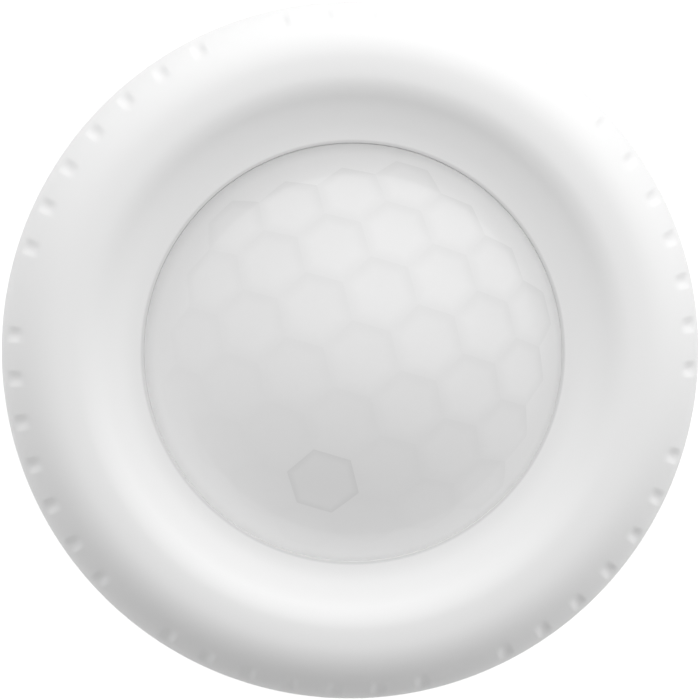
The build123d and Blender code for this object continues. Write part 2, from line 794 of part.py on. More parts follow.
with BuildPart() as rear_cover:
    with BuildSketch(Plane.XY.offset(rear_face)):
        Circle(can_radius)
    extrude(amount=cover_plate_thickness)
    add(tube(spigot_outer - spigot_wall, spigot_outer, -can_depth, -can_depth + spigot_depth))
    with BuildSketch(Plane.XY.offset(-can_depth)):
        with PolarLocations(rear_screw_place, rear_screw_count):
            Circle(rear_boss_radius + slip_gap)
    extrude(amount=spigot_depth, mode=Mode.SUBTRACT)
    with BuildSketch(Plane.XY.offset(-can_depth)):
        with PolarLocations(post_place, 2, start_angle=post_turn):
            Circle(post_radius)
            Circle(small_screw_radius, mode=Mode.SUBTRACT)
    extrude(amount=post_height)
    with BuildSketch(Plane.XY.offset(rear_face)):
        for side in (-1, 1):
            with Locations((side * clamp_post_x, clamp_y)):
                Circle(clamp_post_radius)
                Circle(clamp_screw_radius, mode=Mode.SUBTRACT)
    extrude(amount=-clamp_post_height)
    with BuildSketch(Plane.XY.offset(rear_face)):
        for side in (-1, 1):
            with Locations((side * clamp_post_x, lid_cable_flat + lid_wall + turn_gap + rim_fence_width / 2)):
                Rectangle(rim_fence_length, rim_fence_width)
    extrude(amount=-rim_fence_height)
    add(mid_knuckle.part)
    with BuildSketch(Plane.XY.offset(rear_face)):
        with PolarLocations(rear_screw_place, rear_screw_count):
            Circle(rear_screw_radius)
        for side in (-1, 1):
            with Locations((side * dial_x, dial_y)):
                Circle(dial_shaft_radius + turn_gap)
        with Locations((0, block_y)):
            with GridLocations(pole_pitch, 0, poles, 1):
                Rectangle(terminal_pin_width, terminal_pin_width)
    extrude(amount=cover_plate_thickness, mode=Mode.SUBTRACT)
rear_cover.part.label = "rear_cover"

rear_screw = pan_screw(rear_screw_radius, rear_head_radius, rear_screw_length, rear_head_height)
with BuildPart() as rear_cover_screws:
    with Locations(Location((0, 0, rear_face), (180, 0, 0))):
        with PolarLocations(rear_screw_place, rear_screw_count):
            add(rear_screw)
rear_cover_screws.part.label = "rear_cover_screws"

# Terminal block with conductor entries on the cable side and a slot for each release button
block_face = rear_face - block_height
with BuildPart() as terminal_block:
    with BuildSketch(Plane.XY.offset(rear_face)):
        with Locations((0, block_y)):
            Rectangle(block_length, block_depth)
    extrude(amount=-block_height)
    chamfer(terminal_block.edges().group_by(Axis.Z)[0], small_chamfer)
    with BuildSketch(Plane.XY.offset(block_face)):
        with Locations((0, block_y)):
            with GridLocations(pole_pitch, 0, poles, 1):
                Rectangle(button_width + 2 * turn_gap, button_depth + 2 * turn_gap)
    extrude(amount=button_slot_depth, mode=Mode.SUBTRACT)
    with BuildSketch(Plane.XZ.offset(block_depth / 2 - block_y)):
        with Locations((0, rear_face - entry_height)):
            with GridLocations(pole_pitch, 0, poles, 1):
                Circle(entry_radius)
    extrude(amount=-entry_length, mode=Mode.SUBTRACT)
terminal_block.part.label = "terminal_block"

with BuildPart() as terminal_pins:
    with BuildSketch(Plane.XY.offset(rear_face)):
        with Locations((0, block_y)):
            with GridLocations(pole_pitch, 0, poles, 1):
                Rectangle(terminal_pin_width, terminal_pin_width)
    extrude(amount=power_board_top - rear_face)
terminal_pins.part.label = "terminal_pins"

buttons = []
for pole in range(poles):
    with BuildPart() as button:
        with BuildSketch(Plane.XY.offset(block_face - button_proud)):
            with Locations(((pole - (poles - 1) / 2) * pole_pitch, block_y)):
                Rectangle(button_width, button_depth)
        extrude(amount=button_length)
        chamfer(button.edges().group_by(Axis.Z)[0], small_chamfer)
    button.part.label = f"release_button_{pole + 1}"
    buttons.append(button)

# Setting dials with a screwdriver slot
dials = []
dial_low = rear_face - turn_gap - dial_height
for dial_name, side in (("time_dial", -1), ("light_dial", 1)):
    with BuildPart() as dial:
        with BuildSketch(Plane.XY.offset(dial_low)):
            with Locations((side * dial_x, dial_y)):
                Circle(dial_radius)
        extrude(amount=dial_height)
        fillet(dial.edges().group_by(Axis.Z)[0], small_chamfer)
        with BuildSketch(Plane.XY.offset(dial_low)):
            with Locations((side * dial_x, dial_y)):
                Circle(dial_shaft_radius)
        extrude(amount=power_board_low - turn_gap - dial_low)
        with BuildSketch(Plane.XY.offset(dial_low)):
            with Locations((side * dial_x, dial_y)):
                Rectangle(dial_slot_width, 2 * dial_radius)
        extrude(amount=dial_slot_depth, mode=Mode.SUBTRACT)
    dial.part.label = dial_name
    dials.append(dial)

# Cable clamp bar with an arched underside, and its two screws
clamp_seat = rear_face - clamp_post_height
clamp_top = clamp_seat - clamp_bar_height
with BuildPart() as cable_clamp:
    with BuildSketch(Plane.XY.offset(clamp_seat)):
        with Locations((0, clamp_y)):
            SlotOverall(2 * (clamp_post_x + clamp_post_radius), clamp_bar_width)
    extrude(amount=-clamp_bar_height)
    with BuildSketch(Plane.XZ.offset(-clamp_y - clamp_bar_width)):
        with Locations((0, clamp_seat + cable_radius - clamp_arch)):
            Circle(cable_radius)
    extrude(amount=2 * clamp_bar_width, mode=Mode.SUBTRACT)
    with BuildSketch(Plane.XY.offset(clamp_seat)):
        for side in (-1, 1):
            with Locations((side * clamp_post_x, clamp_y)):
                Circle(clamp_screw_radius)
    extrude(amount=-clamp_bar_height, mode=Mode.SUBTRACT)
cable_clamp.part.label = "cable_clamp"

clamp_screw_length = clamp_post_height + clamp_bar_height - slip_gap
clamp_screw = pan_screw(clamp_screw_radius, clamp_head_radius, clamp_screw_length, clamp_head_height)
with BuildPart() as clamp_screws:
    for side in (-1, 1):
        with Locations(Location((side * clamp_post_x, clamp_y, clamp_top), (180, 0, 0))):
            add(clamp_screw)
clamp_screws.part.label = "clamp_screws"

# Terminal cover: a round cap cut flat at the hinge and at the cable side
lid_open = rear_face - lid_lift
lid_low = lid_open - lid_depth
lid_middle = (lid_hinge_flat + lid_cable_flat) / 2
lid_span = lid_hinge_flat - lid_cable_flat
knuckle_length = (hinge_length - mid_knuckle_length) / 2 - turn_gap
with BuildPart() as terminal_cover:
    with BuildSketch(Plane.XY.offset(lid_low)):
        Circle(lid_radius)
        with Locations((0, lid_middle)):
            Rectangle(2 * lid_radius, lid_span, mode=Mode.INTERSECT)
    extrude(amount=lid_depth)
    fillet(terminal_cover.edges().group_by(Axis.Z)[0], lid_edge_round)
    with BuildSketch(Plane.XY.offset(lid_low + lid_wall)):
        Circle(lid_radius - lid_wall)
        with Locations((0, lid_middle)):
            Rectangle(2 * lid_radius, lid_span - 2 * lid_wall, mode=Mode.INTERSECT)
    extrude(amount=lid_depth, mode=Mode.SUBTRACT)
    for side in (-1, 1):
        knuckle_start = side * (mid_knuckle_length / 2 + turn_gap)
        with BuildSketch(Plane.YZ.offset(knuckle_start)):
            with Locations((hinge_y, hinge_z)):
                Circle(knuckle_radius)
            with Locations(((hinge_y + lid_hinge_flat - lid_wall) / 2, hinge_z)):
                Rectangle(hinge_y - lid_hinge_flat + lid_wall, 2 * knuckle_radius)
            with Locations((hinge_y, hinge_z)):
                Circle(hinge_pin_radius + pin_gap, mode=Mode.SUBTRACT)
        extrude(amount=side * knuckle_length)
    with BuildSketch(Plane.XZ.offset(-lid_cable_flat - 2 * lid_wall)):
        with Locations((0, lid_open - entry_notch_height + entry_notch_width / 2)):
            Circle(entry_notch_width / 2)
        with Locations((0, lid_open)):
            Rectangle(entry_notch_width, 2 * (entry_notch_height - entry_notch_width / 2))
    extrude(amount=4 * lid_wall, mode=Mode.SUBTRACT)
terminal_cover.part.label = "terminal_cover"

with BuildPart() as cover_hinge_pin:
    with BuildSketch(Plane.YZ.offset(-hinge_length / 2)):
        with Locations((hinge_y, hinge_z)):
            Circle(hinge_pin_radius)
    extrude(amount=hinge_length)
cover_hinge_pin.part.label = "cover_hinge_pin"

pieces = [
    fascia_ring,
    lens_dome,
    lens_seal,
    lens_retainer,
    retainer_screws,
    inner_frame,
    sensor_board,
    sensor_board_screws,
    pyro_spacer,
    pyro_sensor,
    pyro_window,
    light_sensor,
    status_lamp,
    housing,
    ceiling_gasket,
    power_board,
    power_board_screws,
    relay,
    bulk_capacitor,
    film_capacitor,
    choke,
    fuse,
    ribbon,
    trimmers,
    rear_cover,
    rear_cover_screws,
    terminal_block,
    terminal_pins,
    cable_clamp,
    clamp_screws,
    terminal_cover,
    cover_hinge_pin,
]
os.makedirs("parts", exist_ok=True)
for piece in pieces + clips + buttons + dials:
    export_step(piece.part, f"parts/{piece.part.label}.step")
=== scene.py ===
"""Looks of a flush ceiling motion sensor for high rooms, laid out as a Blender add-on.

The object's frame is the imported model's: the origin is the centre of the ceiling cut-out, +Z points
into the room, +Y is the hinge side of the terminal cover. All lengths here are metres, MM is one
millimetre, and a flat outline is given as (radius, height) about the lens axis.
"""
import json
import math

import bmesh
import bpy
from mathutils import Matrix, Vector


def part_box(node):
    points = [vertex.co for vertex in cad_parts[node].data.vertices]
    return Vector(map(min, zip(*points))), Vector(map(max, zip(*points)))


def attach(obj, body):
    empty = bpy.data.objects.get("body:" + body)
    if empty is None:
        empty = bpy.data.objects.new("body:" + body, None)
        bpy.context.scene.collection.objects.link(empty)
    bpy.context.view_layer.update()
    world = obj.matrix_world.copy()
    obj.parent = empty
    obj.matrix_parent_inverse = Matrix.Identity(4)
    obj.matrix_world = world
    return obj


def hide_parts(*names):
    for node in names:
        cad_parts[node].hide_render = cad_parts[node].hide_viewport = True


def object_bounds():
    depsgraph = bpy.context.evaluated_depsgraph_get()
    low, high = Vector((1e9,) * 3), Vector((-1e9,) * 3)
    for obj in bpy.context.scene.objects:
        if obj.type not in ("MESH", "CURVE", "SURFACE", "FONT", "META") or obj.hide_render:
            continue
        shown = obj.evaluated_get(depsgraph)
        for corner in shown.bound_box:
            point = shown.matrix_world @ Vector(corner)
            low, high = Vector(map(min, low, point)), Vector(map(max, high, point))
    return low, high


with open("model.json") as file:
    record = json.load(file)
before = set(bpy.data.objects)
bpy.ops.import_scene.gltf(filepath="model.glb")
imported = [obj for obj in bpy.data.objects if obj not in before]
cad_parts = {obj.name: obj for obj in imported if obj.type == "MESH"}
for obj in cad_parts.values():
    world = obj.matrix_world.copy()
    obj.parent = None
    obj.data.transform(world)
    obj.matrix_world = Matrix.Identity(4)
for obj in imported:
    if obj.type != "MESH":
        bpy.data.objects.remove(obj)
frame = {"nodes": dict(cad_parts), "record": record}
CAD_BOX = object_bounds()

bl_info = {
    "name": "High bay motion sensor",
    "version": (1, 0, 0),
    "blender": (4, 5, 0),
    "location": "View3D > Sidebar > Sensor",
    "description": "Dresses the packed sensor with its mouldings, lens and finishes",
    "category": "Object",
}

MM = 0.001
UP = Vector((0, 0, 1))

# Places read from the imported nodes
RING_LOW, RING_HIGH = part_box("fascia_ring")
LENS_LOW, LENS_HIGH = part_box("lens_dome")
RETAINER_LOW, RETAINER_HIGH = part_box("lens_retainer")
HOUSING_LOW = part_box("housing")[0]
BLOCK_LOW, BLOCK_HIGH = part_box("terminal_block")
LID_LOW, LID_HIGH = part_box("terminal_cover")
CLAMP_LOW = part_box("cable_clamp")[0]
FACE_RADIUS = RING_HIGH.x
REAR_FACE = HOUSING_LOW.z - 2.0 * MM  # the rear cover's plate is 2 mm thick
LENS_FLANGE = 3.35 * MM  # width of the flange round the dome
JOINT_RADIUS = 24.0 * MM  # the joint between the lens and the ring, as it shows from the front

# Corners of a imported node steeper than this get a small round
SHARP_ANGLE = math.radians(32.0)
# Columns of the turned ring, and points down its shoulder with the notches' middle among them
RING_COLUMNS, SHOULDER_STEPS, NOTCH_STEP = 576, 40, 21
# Numbers of like details on the pieces behind the face
DIAL_FLUTES, PAD_RIDGES, GRIP_BARS, POLES = 20, 5, 4, 5


# Settings

def length(name, description, default):
    """A length setting."""
    return bpy.props.FloatProperty(
        name=name, description=description, default=default, unit="LENGTH", precision=5)


def angle(name, description, degrees):
    """An angle setting, with its default in degrees."""
    return bpy.props.FloatProperty(
        name=name, description=description, default=math.radians(degrees), subtype="ANGLE")


# Mesh helpers

def finished(bm, name, material, smooth_angle=35.0):
    """Turns a bmesh into an object: merged points, outward normals, one material, sharp corners."""
    bmesh.ops.remove_doubles(bm, verts=bm.verts, dist=1e-7)
    bmesh.ops.recalc_face_normals(bm, faces=bm.faces)
    mesh = bpy.data.meshes.new(name)
    bm.to_mesh(mesh)
    bm.free()
    mesh.materials.append(material)
    mesh.shade_smooth()
    mesh.set_sharp_from_angle(angle=math.radians(smooth_angle))
    piece = bpy.data.objects.new(name, mesh)
    bpy.context.scene.collection.objects.link(piece)
    # Large flat faces stay flat between their rounded edges
    weighted = piece.modifiers.new("flat faces", "WEIGHTED_NORMAL")
    weighted.keep_sharp = True
    return piece


def seat(piece, body, slot, *nodes):
    """Rides a piece on its body and hides the nodes that it stands for. The slot is not used."""
    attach(piece, body)
    if nodes:
        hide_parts(*nodes)


def dress(bm, name, body, slot, *nodes, smooth_angle=35.0):
    """Makes the object in its slot's finish, then seats it."""
    seat(finished(bm, name, slot_finish(slot), smooth_angle), body, slot, *nodes)


def softened(node, width):
    """A merged copy of a node with a small round on its sharp edges."""
    bm = bmesh.new()
    bm.from_mesh(frame["nodes"][node].data)
    bmesh.ops.remove_doubles(bm, verts=bm.verts, dist=2e-6)
    bmesh.ops.dissolve_limit(bm, angle_limit=math.radians(0.8), verts=bm.verts, edges=bm.edges)
    sharp = [
        edge for edge in bm.edges
        if edge.is_manifold and edge.calc_face_angle() > SHARP_ANGLE
    ]
    bmesh.ops.bevel(bm, geom=sharp, affect="EDGES", offset=width, segments=2, profile=0.5,
                    clamp_overlap=True, material=-1)
    return bm


def rounded_block(bm, low, high, round_size, turn=None, segments=2):
    """Adds a box with rounded edges between two corners, turned afterwards by a matrix."""
    middle, size = (low + high) / 2, high - low
    place = Matrix.Translation(middle) @ Matrix.Diagonal((*size, 1))
    made = bmesh.ops.create_cube(bm, size=1.0, matrix=place)
    edges = list({edge for vert in made["verts"] for edge in vert.link_edges})
    rounded = bmesh.ops.bevel(bm, geom=edges, affect="EDGES", offset=round_size, segments=segments,
                              profile=0.5, clamp_overlap=True, material=-1)
    if turn is not None:
        verts = {vert for face in rounded["faces"] for vert in face.verts}
        verts |= {other for vert in verts for edge in vert.link_edges for other in edge.verts}
        bmesh.ops.transform(bm, matrix=turn, verts=list(verts))


def profile_wire(bm, points, closed=True):
    """Adds a flat outline of (radius, height) points on the +X side, for a spin."""
    verts = [bm.verts.new((radius, 0, height)) for radius, height in points]
    pairs = list(zip(verts, verts[1:]))
    if closed:
        pairs.append((verts[-1], verts[0]))
    return verts + [bm.edges.new(pair) for pair in pairs]


def turned(points, steps):
    """A bmesh of a closed (radius, height) outline turned once about the lens axis."""
    bm = bmesh.new()
    outline = profile_wire(bm, points)
    bmesh.ops.spin(bm, geom=outline, cent=(0, 0, 0), axis=UP, angle=math.tau, steps=steps,
                   use_merge=True, use_duplicate=False)
    bmesh.ops.remove_doubles(bm, verts=bm.verts, dist=1e-7)
    return bm


def arc_block(bm, points, middle_turn, span):
    """Adds a closed block: an outline of (radius, height) points swept round part of the axis."""
    face = bm.faces.new([bm.verts.new((radius, 0, height)) for radius, height in points])
    start = Matrix.Rotation(middle_turn - span / 2, 3, "Z")
    bmesh.ops.rotate(bm, verts=face.verts, cent=(0, 0, 0), matrix=start)
    bmesh.ops.spin(bm, geom=[face], cent=(0, 0, 0), axis=UP, angle=span, steps=8,
                   use_merge=False, use_duplicate=False)


def cubic(start, end, start_way, end_way, count):
    """Points after the first along a cubic between two points with given end directions."""
    points = []
    for step in range(1, count + 1):
        t = step / count
        shares = (2 * t**3 - 3 * t**2 + 1, t**3 - 2 * t**2 + t, 3 * t**2 - 2 * t**3, t**3 - t**2)
        points.append(tuple(
            sum(share * part[axis] for share, part in zip(shares, (start, start_way, end, end_way)))
            for axis in (0, 1)
        ))
    return points


def corner(middle, radius, first, last, count):
    """Points along a round corner, with its angles in degrees."""
    return [
        (middle[0] + radius * math.cos(math.radians(first + (last - first) * step / count)),
         middle[1] + radius * math.sin(math.radians(first + (last - first) * step / count)))
        for step in range(count + 1)
    ]


# Material helpers

def add_node(tree, kind, settings=None, out=0, inputs=None):
    """Adds a node: its settings come first, then the values or links of its sockets."""
    node = tree.nodes.new(kind)
    for setting, value in (settings or {}).items():
        setattr(node, setting, value)
    for socket, value in (inputs or {}).items():
        if isinstance(value, Maths):
            tree.links.new(value.socket, node.inputs[socket])
        else:
            node.inputs[socket].default_value = value
    return Maths(tree, node.outputs[out])


class Maths:
    """A shader socket that can stand in a Python expression."""

    def __init__(self, tree, socket):
        self.tree = tree
        self.socket = socket

    def apply(self, operation, *others):
        """The result of a Math node on this value and others."""
        inputs = dict(enumerate((self, *others)))
        return add_node(self.tree, "ShaderNodeMath", {"operation": operation}, 0, inputs)

    def __add__(self, other):
        return self.apply("ADD", other)

    def __radd__(self, other):
        return self.apply("ADD", other)

    def __sub__(self, other):
        return self.apply("SUBTRACT", other)

    def __rsub__(self, other):
        return self.apply("MULTIPLY_ADD", -1.0, other)

    def __mul__(self, other):
        return self.apply("MULTIPLY", other)

    def __rmul__(self, other):
        return self.apply("MULTIPLY", other)

    def __truediv__(self, other):
        return self.apply("DIVIDE", other)

    def __abs__(self):
        return self.apply("ABSOLUTE")

    def rise(self, low, high):
        """A smooth step from 0 at low to 1 at high."""
        settings = {"interpolation_type": "SMOOTHSTEP"}
        inputs = {"Value": self, "From Min": low, "From Max": high}
        return add_node(self.tree, "ShaderNodeMapRange", settings, 0, inputs)


class Finish:
    """A material with its shader and the nodes that feed it."""

    def __init__(self, name, **constants):
        self.material = bpy.data.materials.new(name)
        self.material.use_nodes = True
        self.tree = self.material.node_tree
        self.tree.nodes.clear()
        values = {socket.replace("_", " "): value for socket, value in constants.items()}
        self.shader = self.node("ShaderNodeBsdfPrincipled", inputs=values)
        self.output = self.tree.nodes.new("ShaderNodeOutputMaterial")
        self.show(self.shader)
        self.place = self.node("ShaderNodeTexCoord", out="Object")

    def show(self, shader):
        """Links a shader to the material's output."""
        self.tree.links.new(shader.socket, self.output.inputs["Surface"])

    def node(self, kind, settings=None, out=0, inputs=None):
        """Adds a node to this material."""
        return add_node(self.tree, kind, settings, out, inputs)

    def parts(self, vector):
        """The three parts of a vector."""
        first = self.node("ShaderNodeSeparateXYZ", inputs={0: vector})
        return [Maths(self.tree, output) for output in first.socket.node.outputs]

    def feed(self, socket, value):
        """Links a value to one of the shader's sockets."""
        self.tree.links.new(value.socket, self.shader.socket.node.inputs[socket])

    def stretched(self, scale):
        """Object coordinates scaled by axis, for marks with a direction."""
        return self.node("ShaderNodeMapping", inputs={"Vector": self.place, "Scale": scale})

    def grain(self, scale, detail=2.0, roughness=0.5, place=None):
        """Noise with about the given number of features per metre."""
        return self.node("ShaderNodeTexNoise", out="Fac", inputs={
            "Vector": place or self.place, "Scale": scale, "Detail": detail, "Roughness": roughness})

    def cells(self, scale, feature="F1"):
        """Distance to the nearest of scattered points, or to the wall between two cells."""
        return self.node("ShaderNodeTexVoronoi", {"feature": feature}, "Distance",
                         {"Vector": self.place, "Scale": scale})

    def mix(self, share, low, high):
        """A colour between two colours."""
        return self.node("ShaderNodeMix", {"data_type": "RGBA"}, 2, {0: share, 6: low, 7: high})

    def bump(self, height, distance):
        """A bump, in metres, that feeds the shader's normal."""
        inputs = {"Height": height, "Distance": distance}
        self.feed("Normal", self.node("ShaderNodeBump", out="Normal", inputs=inputs))

    def let_through(self, share, colour, *tints):
        """Lets a share of the light behind come through, scattered, with tints of (share, colour)."""
        behind = self.node("ShaderNodeBsdfTranslucent", inputs={"Color": colour})
        for cover, tint in tints:
            tinted = self.node("ShaderNodeBsdfTranslucent", inputs={"Color": tint})
            behind = self.node("ShaderNodeMixShader", inputs={0: cover, 1: behind, 2: tinted})
        self.show(self.node("ShaderNodeMixShader", inputs={0: share, 1: self.shader, 2: behind}))


def shade(colour, share):
    """A colour made lighter or darker by a factor, opaque."""
    return tuple(min(1.0, part * share) for part in colour[:3]) + (1.0,)


def moulded(name, colour, rough=0.42, spark=6e-6, spark_scale=4200.0, drift=0.02, seam=None):
    """Moulded plastic: faint colour drift, spark texture and gloss that varies with both.

    A seam is the radius of a round joint, beside which shade is painted: a narrow dark line at the
    joint and a faint darker band beside it.
    """
    finish = Finish(name)
    flow = finish.grain(45.0, 3.0)
    texture = finish.grain(spark_scale, 3.0, 0.6)
    handling = finish.grain(160.0, 4.0, 0.6)
    body = finish.mix(flow * 0.7 + texture * 0.3, shade(colour, 1 - drift), shade(colour, 1 + drift))
    if seam:
        across, along, _ = finish.parts(finish.place)
        beside = (across * across + along * along).apply("SQRT") - seam
        # Painted shade beside the joint: a narrow dark line and a faint wider darker band
        dust_and_painted_shade = (1 - beside.rise(0.1 * MM, 0.4 * MM)) * 0.28 + (1 - beside.rise(0.0, 3.0 * MM)) * 0.075
        body = finish.mix(dust_and_painted_shade, body, (0.35, 0.35, 0.35, 1))
    finish.feed("Base Color", body)
    finish.feed("Roughness", rough - 0.06 + texture * 0.05 + handling * 0.07)
    finish.bump(texture, spark)
    return finish.material


def rubber(name, colour):
    """Rubber: dusty patches, fine pores and a dull sheen."""
    finish = Finish(name, Specular_IOR_Level=0.35, Sheen_Weight=0.08)
    # Dust patches of the rubber itself
    dust_and_painted_shade = finish.grain(220.0, 4.0, 0.65)
    pores = finish.grain(6500.0, 2.0)
    body = finish.mix(dust_and_painted_shade.rise(0.35, 0.75), shade(colour, 0.85), shade(colour, 1.9))
    finish.feed("Base Color", body)
    finish.feed("Roughness", 0.72 + dust_and_painted_shade * 0.18)
    finish.bump(pores + dust_and_painted_shade * 0.4, 2.2e-5)
    return finish.material


def foam(name, colour):
    """Closed-cell foam: round cells with thin walls between them."""
    finish = Finish(name, Roughness=0.9, Specular_IOR_Level=0.2)
    cell = finish.cells(2300.0, "DISTANCE_TO_EDGE")
    wall = 1 - cell.rise(0.02, 0.16)
    finish.feed("Base Color", finish.mix(wall, shade(colour, 0.7), shade(colour, 1.5)))
    finish.feed("Roughness", 0.82 + wall * 0.12)
    finish.bump(wall, 5e-5)
    return finish.material


def metal(name, colour, rough, along, patch):
    """Plated or rolled metal: lines along one way, soft patches, and gloss that varies with both and
    with small specks.
    """
    finish = Finish(name, Metallic=1.0)
    lines = finish.grain(1.0, 3.0, 0.6, finish.stretched(along))
    patches = finish.grain(260.0, 3.0, 0.6)
    specks = finish.grain(2400.0, 2.0).rise(0.62, 0.74)
    wear = patches * 0.7 + lines * 0.3
    finish.feed("Base Color", finish.mix(wear, shade(colour, 1 - patch), shade(colour, 1 + patch)))
    finish.feed("Roughness", rough + lines * 0.14 + patches * 0.08 + specks * 0.12 - 0.08)
    finish.bump(lines, 4e-6)
    return finish.material


def circuit(name, colour):
    """Circuit board: solder mask over copper tracks, with small plated holes."""
    finish = Finish(name, Coat_Weight=0.4, Coat_Roughness=0.2)
    across, along, _ = finish.parts(finish.place)
    lane = (across * 420.0 + finish.grain(90.0, 1.0).apply("ROUND") * 0.5).apply("FRACT")
    cross_lane = (along * 300.0).apply("FRACT")
    area = finish.grain(130.0, 0.0).rise(0.47, 0.5)
    track = lane.rise(0.56, 0.62) * area + cross_lane.rise(0.66, 0.7) * (1 - area)
    hole = 1 - finish.cells(330.0).rise(0.12, 0.15)
    tracks = finish.mix(track, shade(colour, 0.85), shade(colour, 1.5))
    finish.feed("Base Color", finish.mix(hole, tracks, (0.62, 0.60, 0.52, 1)))
    finish.feed("Metallic", hole * 0.9)
    finish.feed("Roughness", 0.32 + finish.grain(1900.0) * 0.1)
    finish.bump(track, 2.5e-5)
    return finish.material


def clear(name, colour, transmission):
    """Tinted clear moulding with faint flow lines."""
    finish = Finish(name, Transmission_Weight=transmission, IOR=1.5)
    flow = finish.grain(1.0, 2.0, 0.5, finish.stretched((300.0, 300.0, 900.0)))
    finish.feed("Base Color", finish.mix(flow, shade(colour, 0.85), shade(colour, 1.15)))
    finish.feed("Roughness", 0.12 + flow * 0.08)
    finish.bump(flow, 3e-6)
    return finish.material


def recipe(slot, name, colour):
    """The finish of one of the record's material slots."""
    plain = dict(
        # The ring's seam is its joint with the lens, beside which shade is painted
        ring_plastic=dict(rough=0.50, spark=4e-6, spark_scale=5200.0, drift=0.006, seam=JOINT_RADIUS),
        frame_plastic=dict(rough=0.45, drift=0.01),
        housing_plastic=dict(rough=0.50, spark=1.6e-5, spark_scale=3400.0, drift=0.012),
        clamp_plastic=dict(rough=0.48, spark=1.2e-5, drift=0.012),
        dial_plastic=dict(rough=0.40, drift=0.01),
        black_plastic=dict(rough=0.45, spark=1.5e-5, drift=0.12),
        capacitor_sleeve=dict(rough=0.30, drift=0.08),
        film_yellow=dict(rough=0.28, drift=0.05),
        choke_black=dict(rough=0.42, drift=0.12),
        fuse_brown=dict(rough=0.42, drift=0.08),
        ribbon_grey=dict(rough=0.45, drift=0.04),
        trimmer_blue=dict(rough=0.30, drift=0.05),
        terminal_grey=dict(rough=0.52, spark=2.2e-5, spark_scale=2600.0, drift=0.05),
        button_orange=dict(rough=0.44, spark=1.2e-5, drift=0.03),
    )
    metals = dict(
        zinc_steel=dict(rough=0.30, along=(900.0, 900.0, 900.0), patch=0.07),
        spring_steel=dict(rough=0.28, along=(80.0, 3200.0, 80.0), patch=0.08),
        sensor_metal=dict(rough=0.16, along=(500.0, 500.0, 2500.0), patch=0.03),
        tinned_brass=dict(rough=0.34, along=(900.0, 900.0, 300.0), patch=0.10),
    )
    if slot in plain:
        return moulded(name, colour, **plain[slot])
    if slot in metals:
        return metal(name, colour, **metals[slot])
    if slot == "gasket_foam":
        return foam(name, colour)
    if slot in ("seal_rubber", "pad_rubber"):
        return rubber(name, colour)
    if slot == "board_green":
        return circuit(name, colour)
    return clear(name, colour, 0.3 if slot == "lamp_red" else 0.6)


def slot_finish(slot):
    """The material of a slot, made the first time that it is asked for."""
    name = f"{slot}_finish"
    made = bpy.data.materials.get(name)
    if made:
        return made
    entries = frame["record"]["materials"]
    colour = next(entry["base_color"] for entry in entries if entry["slot"] == slot)
    return recipe(slot, name, colour)


# Stage

class SENSOR_PG_stage(bpy.types.PropertyGroup):
    """Camera, floor and light."""

    floor_drop: length(
        "Floor drop", "Gap from the lowest point to the floor, room for the open cover", 0.045)
    camera_height: length("Camera height", "Distance of the camera from the face", 1.6)
    aim_height: length(
        "Aim height", "Height above the ceiling face that the camera is aimed at", 0.4 * MM)
    face_share: bpy.props.FloatProperty(
        name="Face share", description="Part of the picture's width that the face takes",
        default=0.9951)
    tilt_left: angle("Tilt left", "How far the camera stands to the left of the lens axis", 2.4)
    tilt_up: angle("Tilt up", "How far the camera stands above the lens axis", 1.8)
    sky_level: bpy.props.FloatProperty(
        name="Sky level", description="Least level of the light from any side", default=0.12)
    light_focus: bpy.props.FloatProperty(
        name="Light focus", description="How quickly a soft light fades away from its middle",
        default=10.0)


class SENSOR_OT_stage(bpy.types.Operator):
    """Makes the floor, the light all round and the camera"""

    bl_idname = "sensor.stage"
    bl_label = "Stage"

    def execute(self, context):
        options = context.scene.sensor_stage
        context.scene.view_settings.view_transform = "Standard"
        make_floor(CAD_BOX[0].z - options.floor_drop)
        make_sky(options)
        make_camera(options)
        return {"FINISHED"}


def make_floor(height):
    """A wide pale floor that shows white and keeps soft shadows."""
    bm = bmesh.new()
    bmesh.ops.create_grid(bm, x_segments=8, y_segments=8, size=30.0)
    bmesh.ops.translate(bm, verts=bm.verts, vec=(0, 0, height))
    finish = Finish("floor_white", Roughness=0.9, Specular_IOR_Level=0.1)
    colour = finish.mix(finish.grain(3.0), (0.80, 0.80, 0.80, 1), (0.83, 0.83, 0.83, 1))
    finish.feed("Base Color", colour)
    seen = finish.node("ShaderNodeLightPath", out="Is Camera Ray")
    for ray in ("Is Glossy Ray", "Is Transmission Ray"):
        seen = seen.apply("MAXIMUM", finish.node("ShaderNodeLightPath", out=ray))
    glow = finish.node("ShaderNodeEmission", inputs={"Color": (1, 1, 1, 1), "Strength": seen * 0.45})
    finish.show(finish.node("ShaderNodeAddShader", inputs={0: finish.shader, 1: glow}))
    finished(bm, "floor", finish.material)


# Soft lights of the sky: turn away from the lens axis and turn about it, in degrees, and strength
SKY_LIGHTS = (
    (0, 0, 0.39), (35, 30, 1.00), (35, 90, 1.09), (35, 150, 0.86), (35, 330, 0.16),
    (65, 0, 0.65), (65, 45, 1.34), (65, 90, 1.10), (65, 135, 0.39), (65, 180, 0.65), (65, 315, 0.19),
    (90, 22.5, 0.54), (90, 67.5, 1.03), (90, 112.5, 0.60), (90, 157.5, 0.57), (90, 202.5, 0.47),
    (90, 247.5, 0.17), (90, 292.5, 0.24), (90, 337.5, 0.41),
)


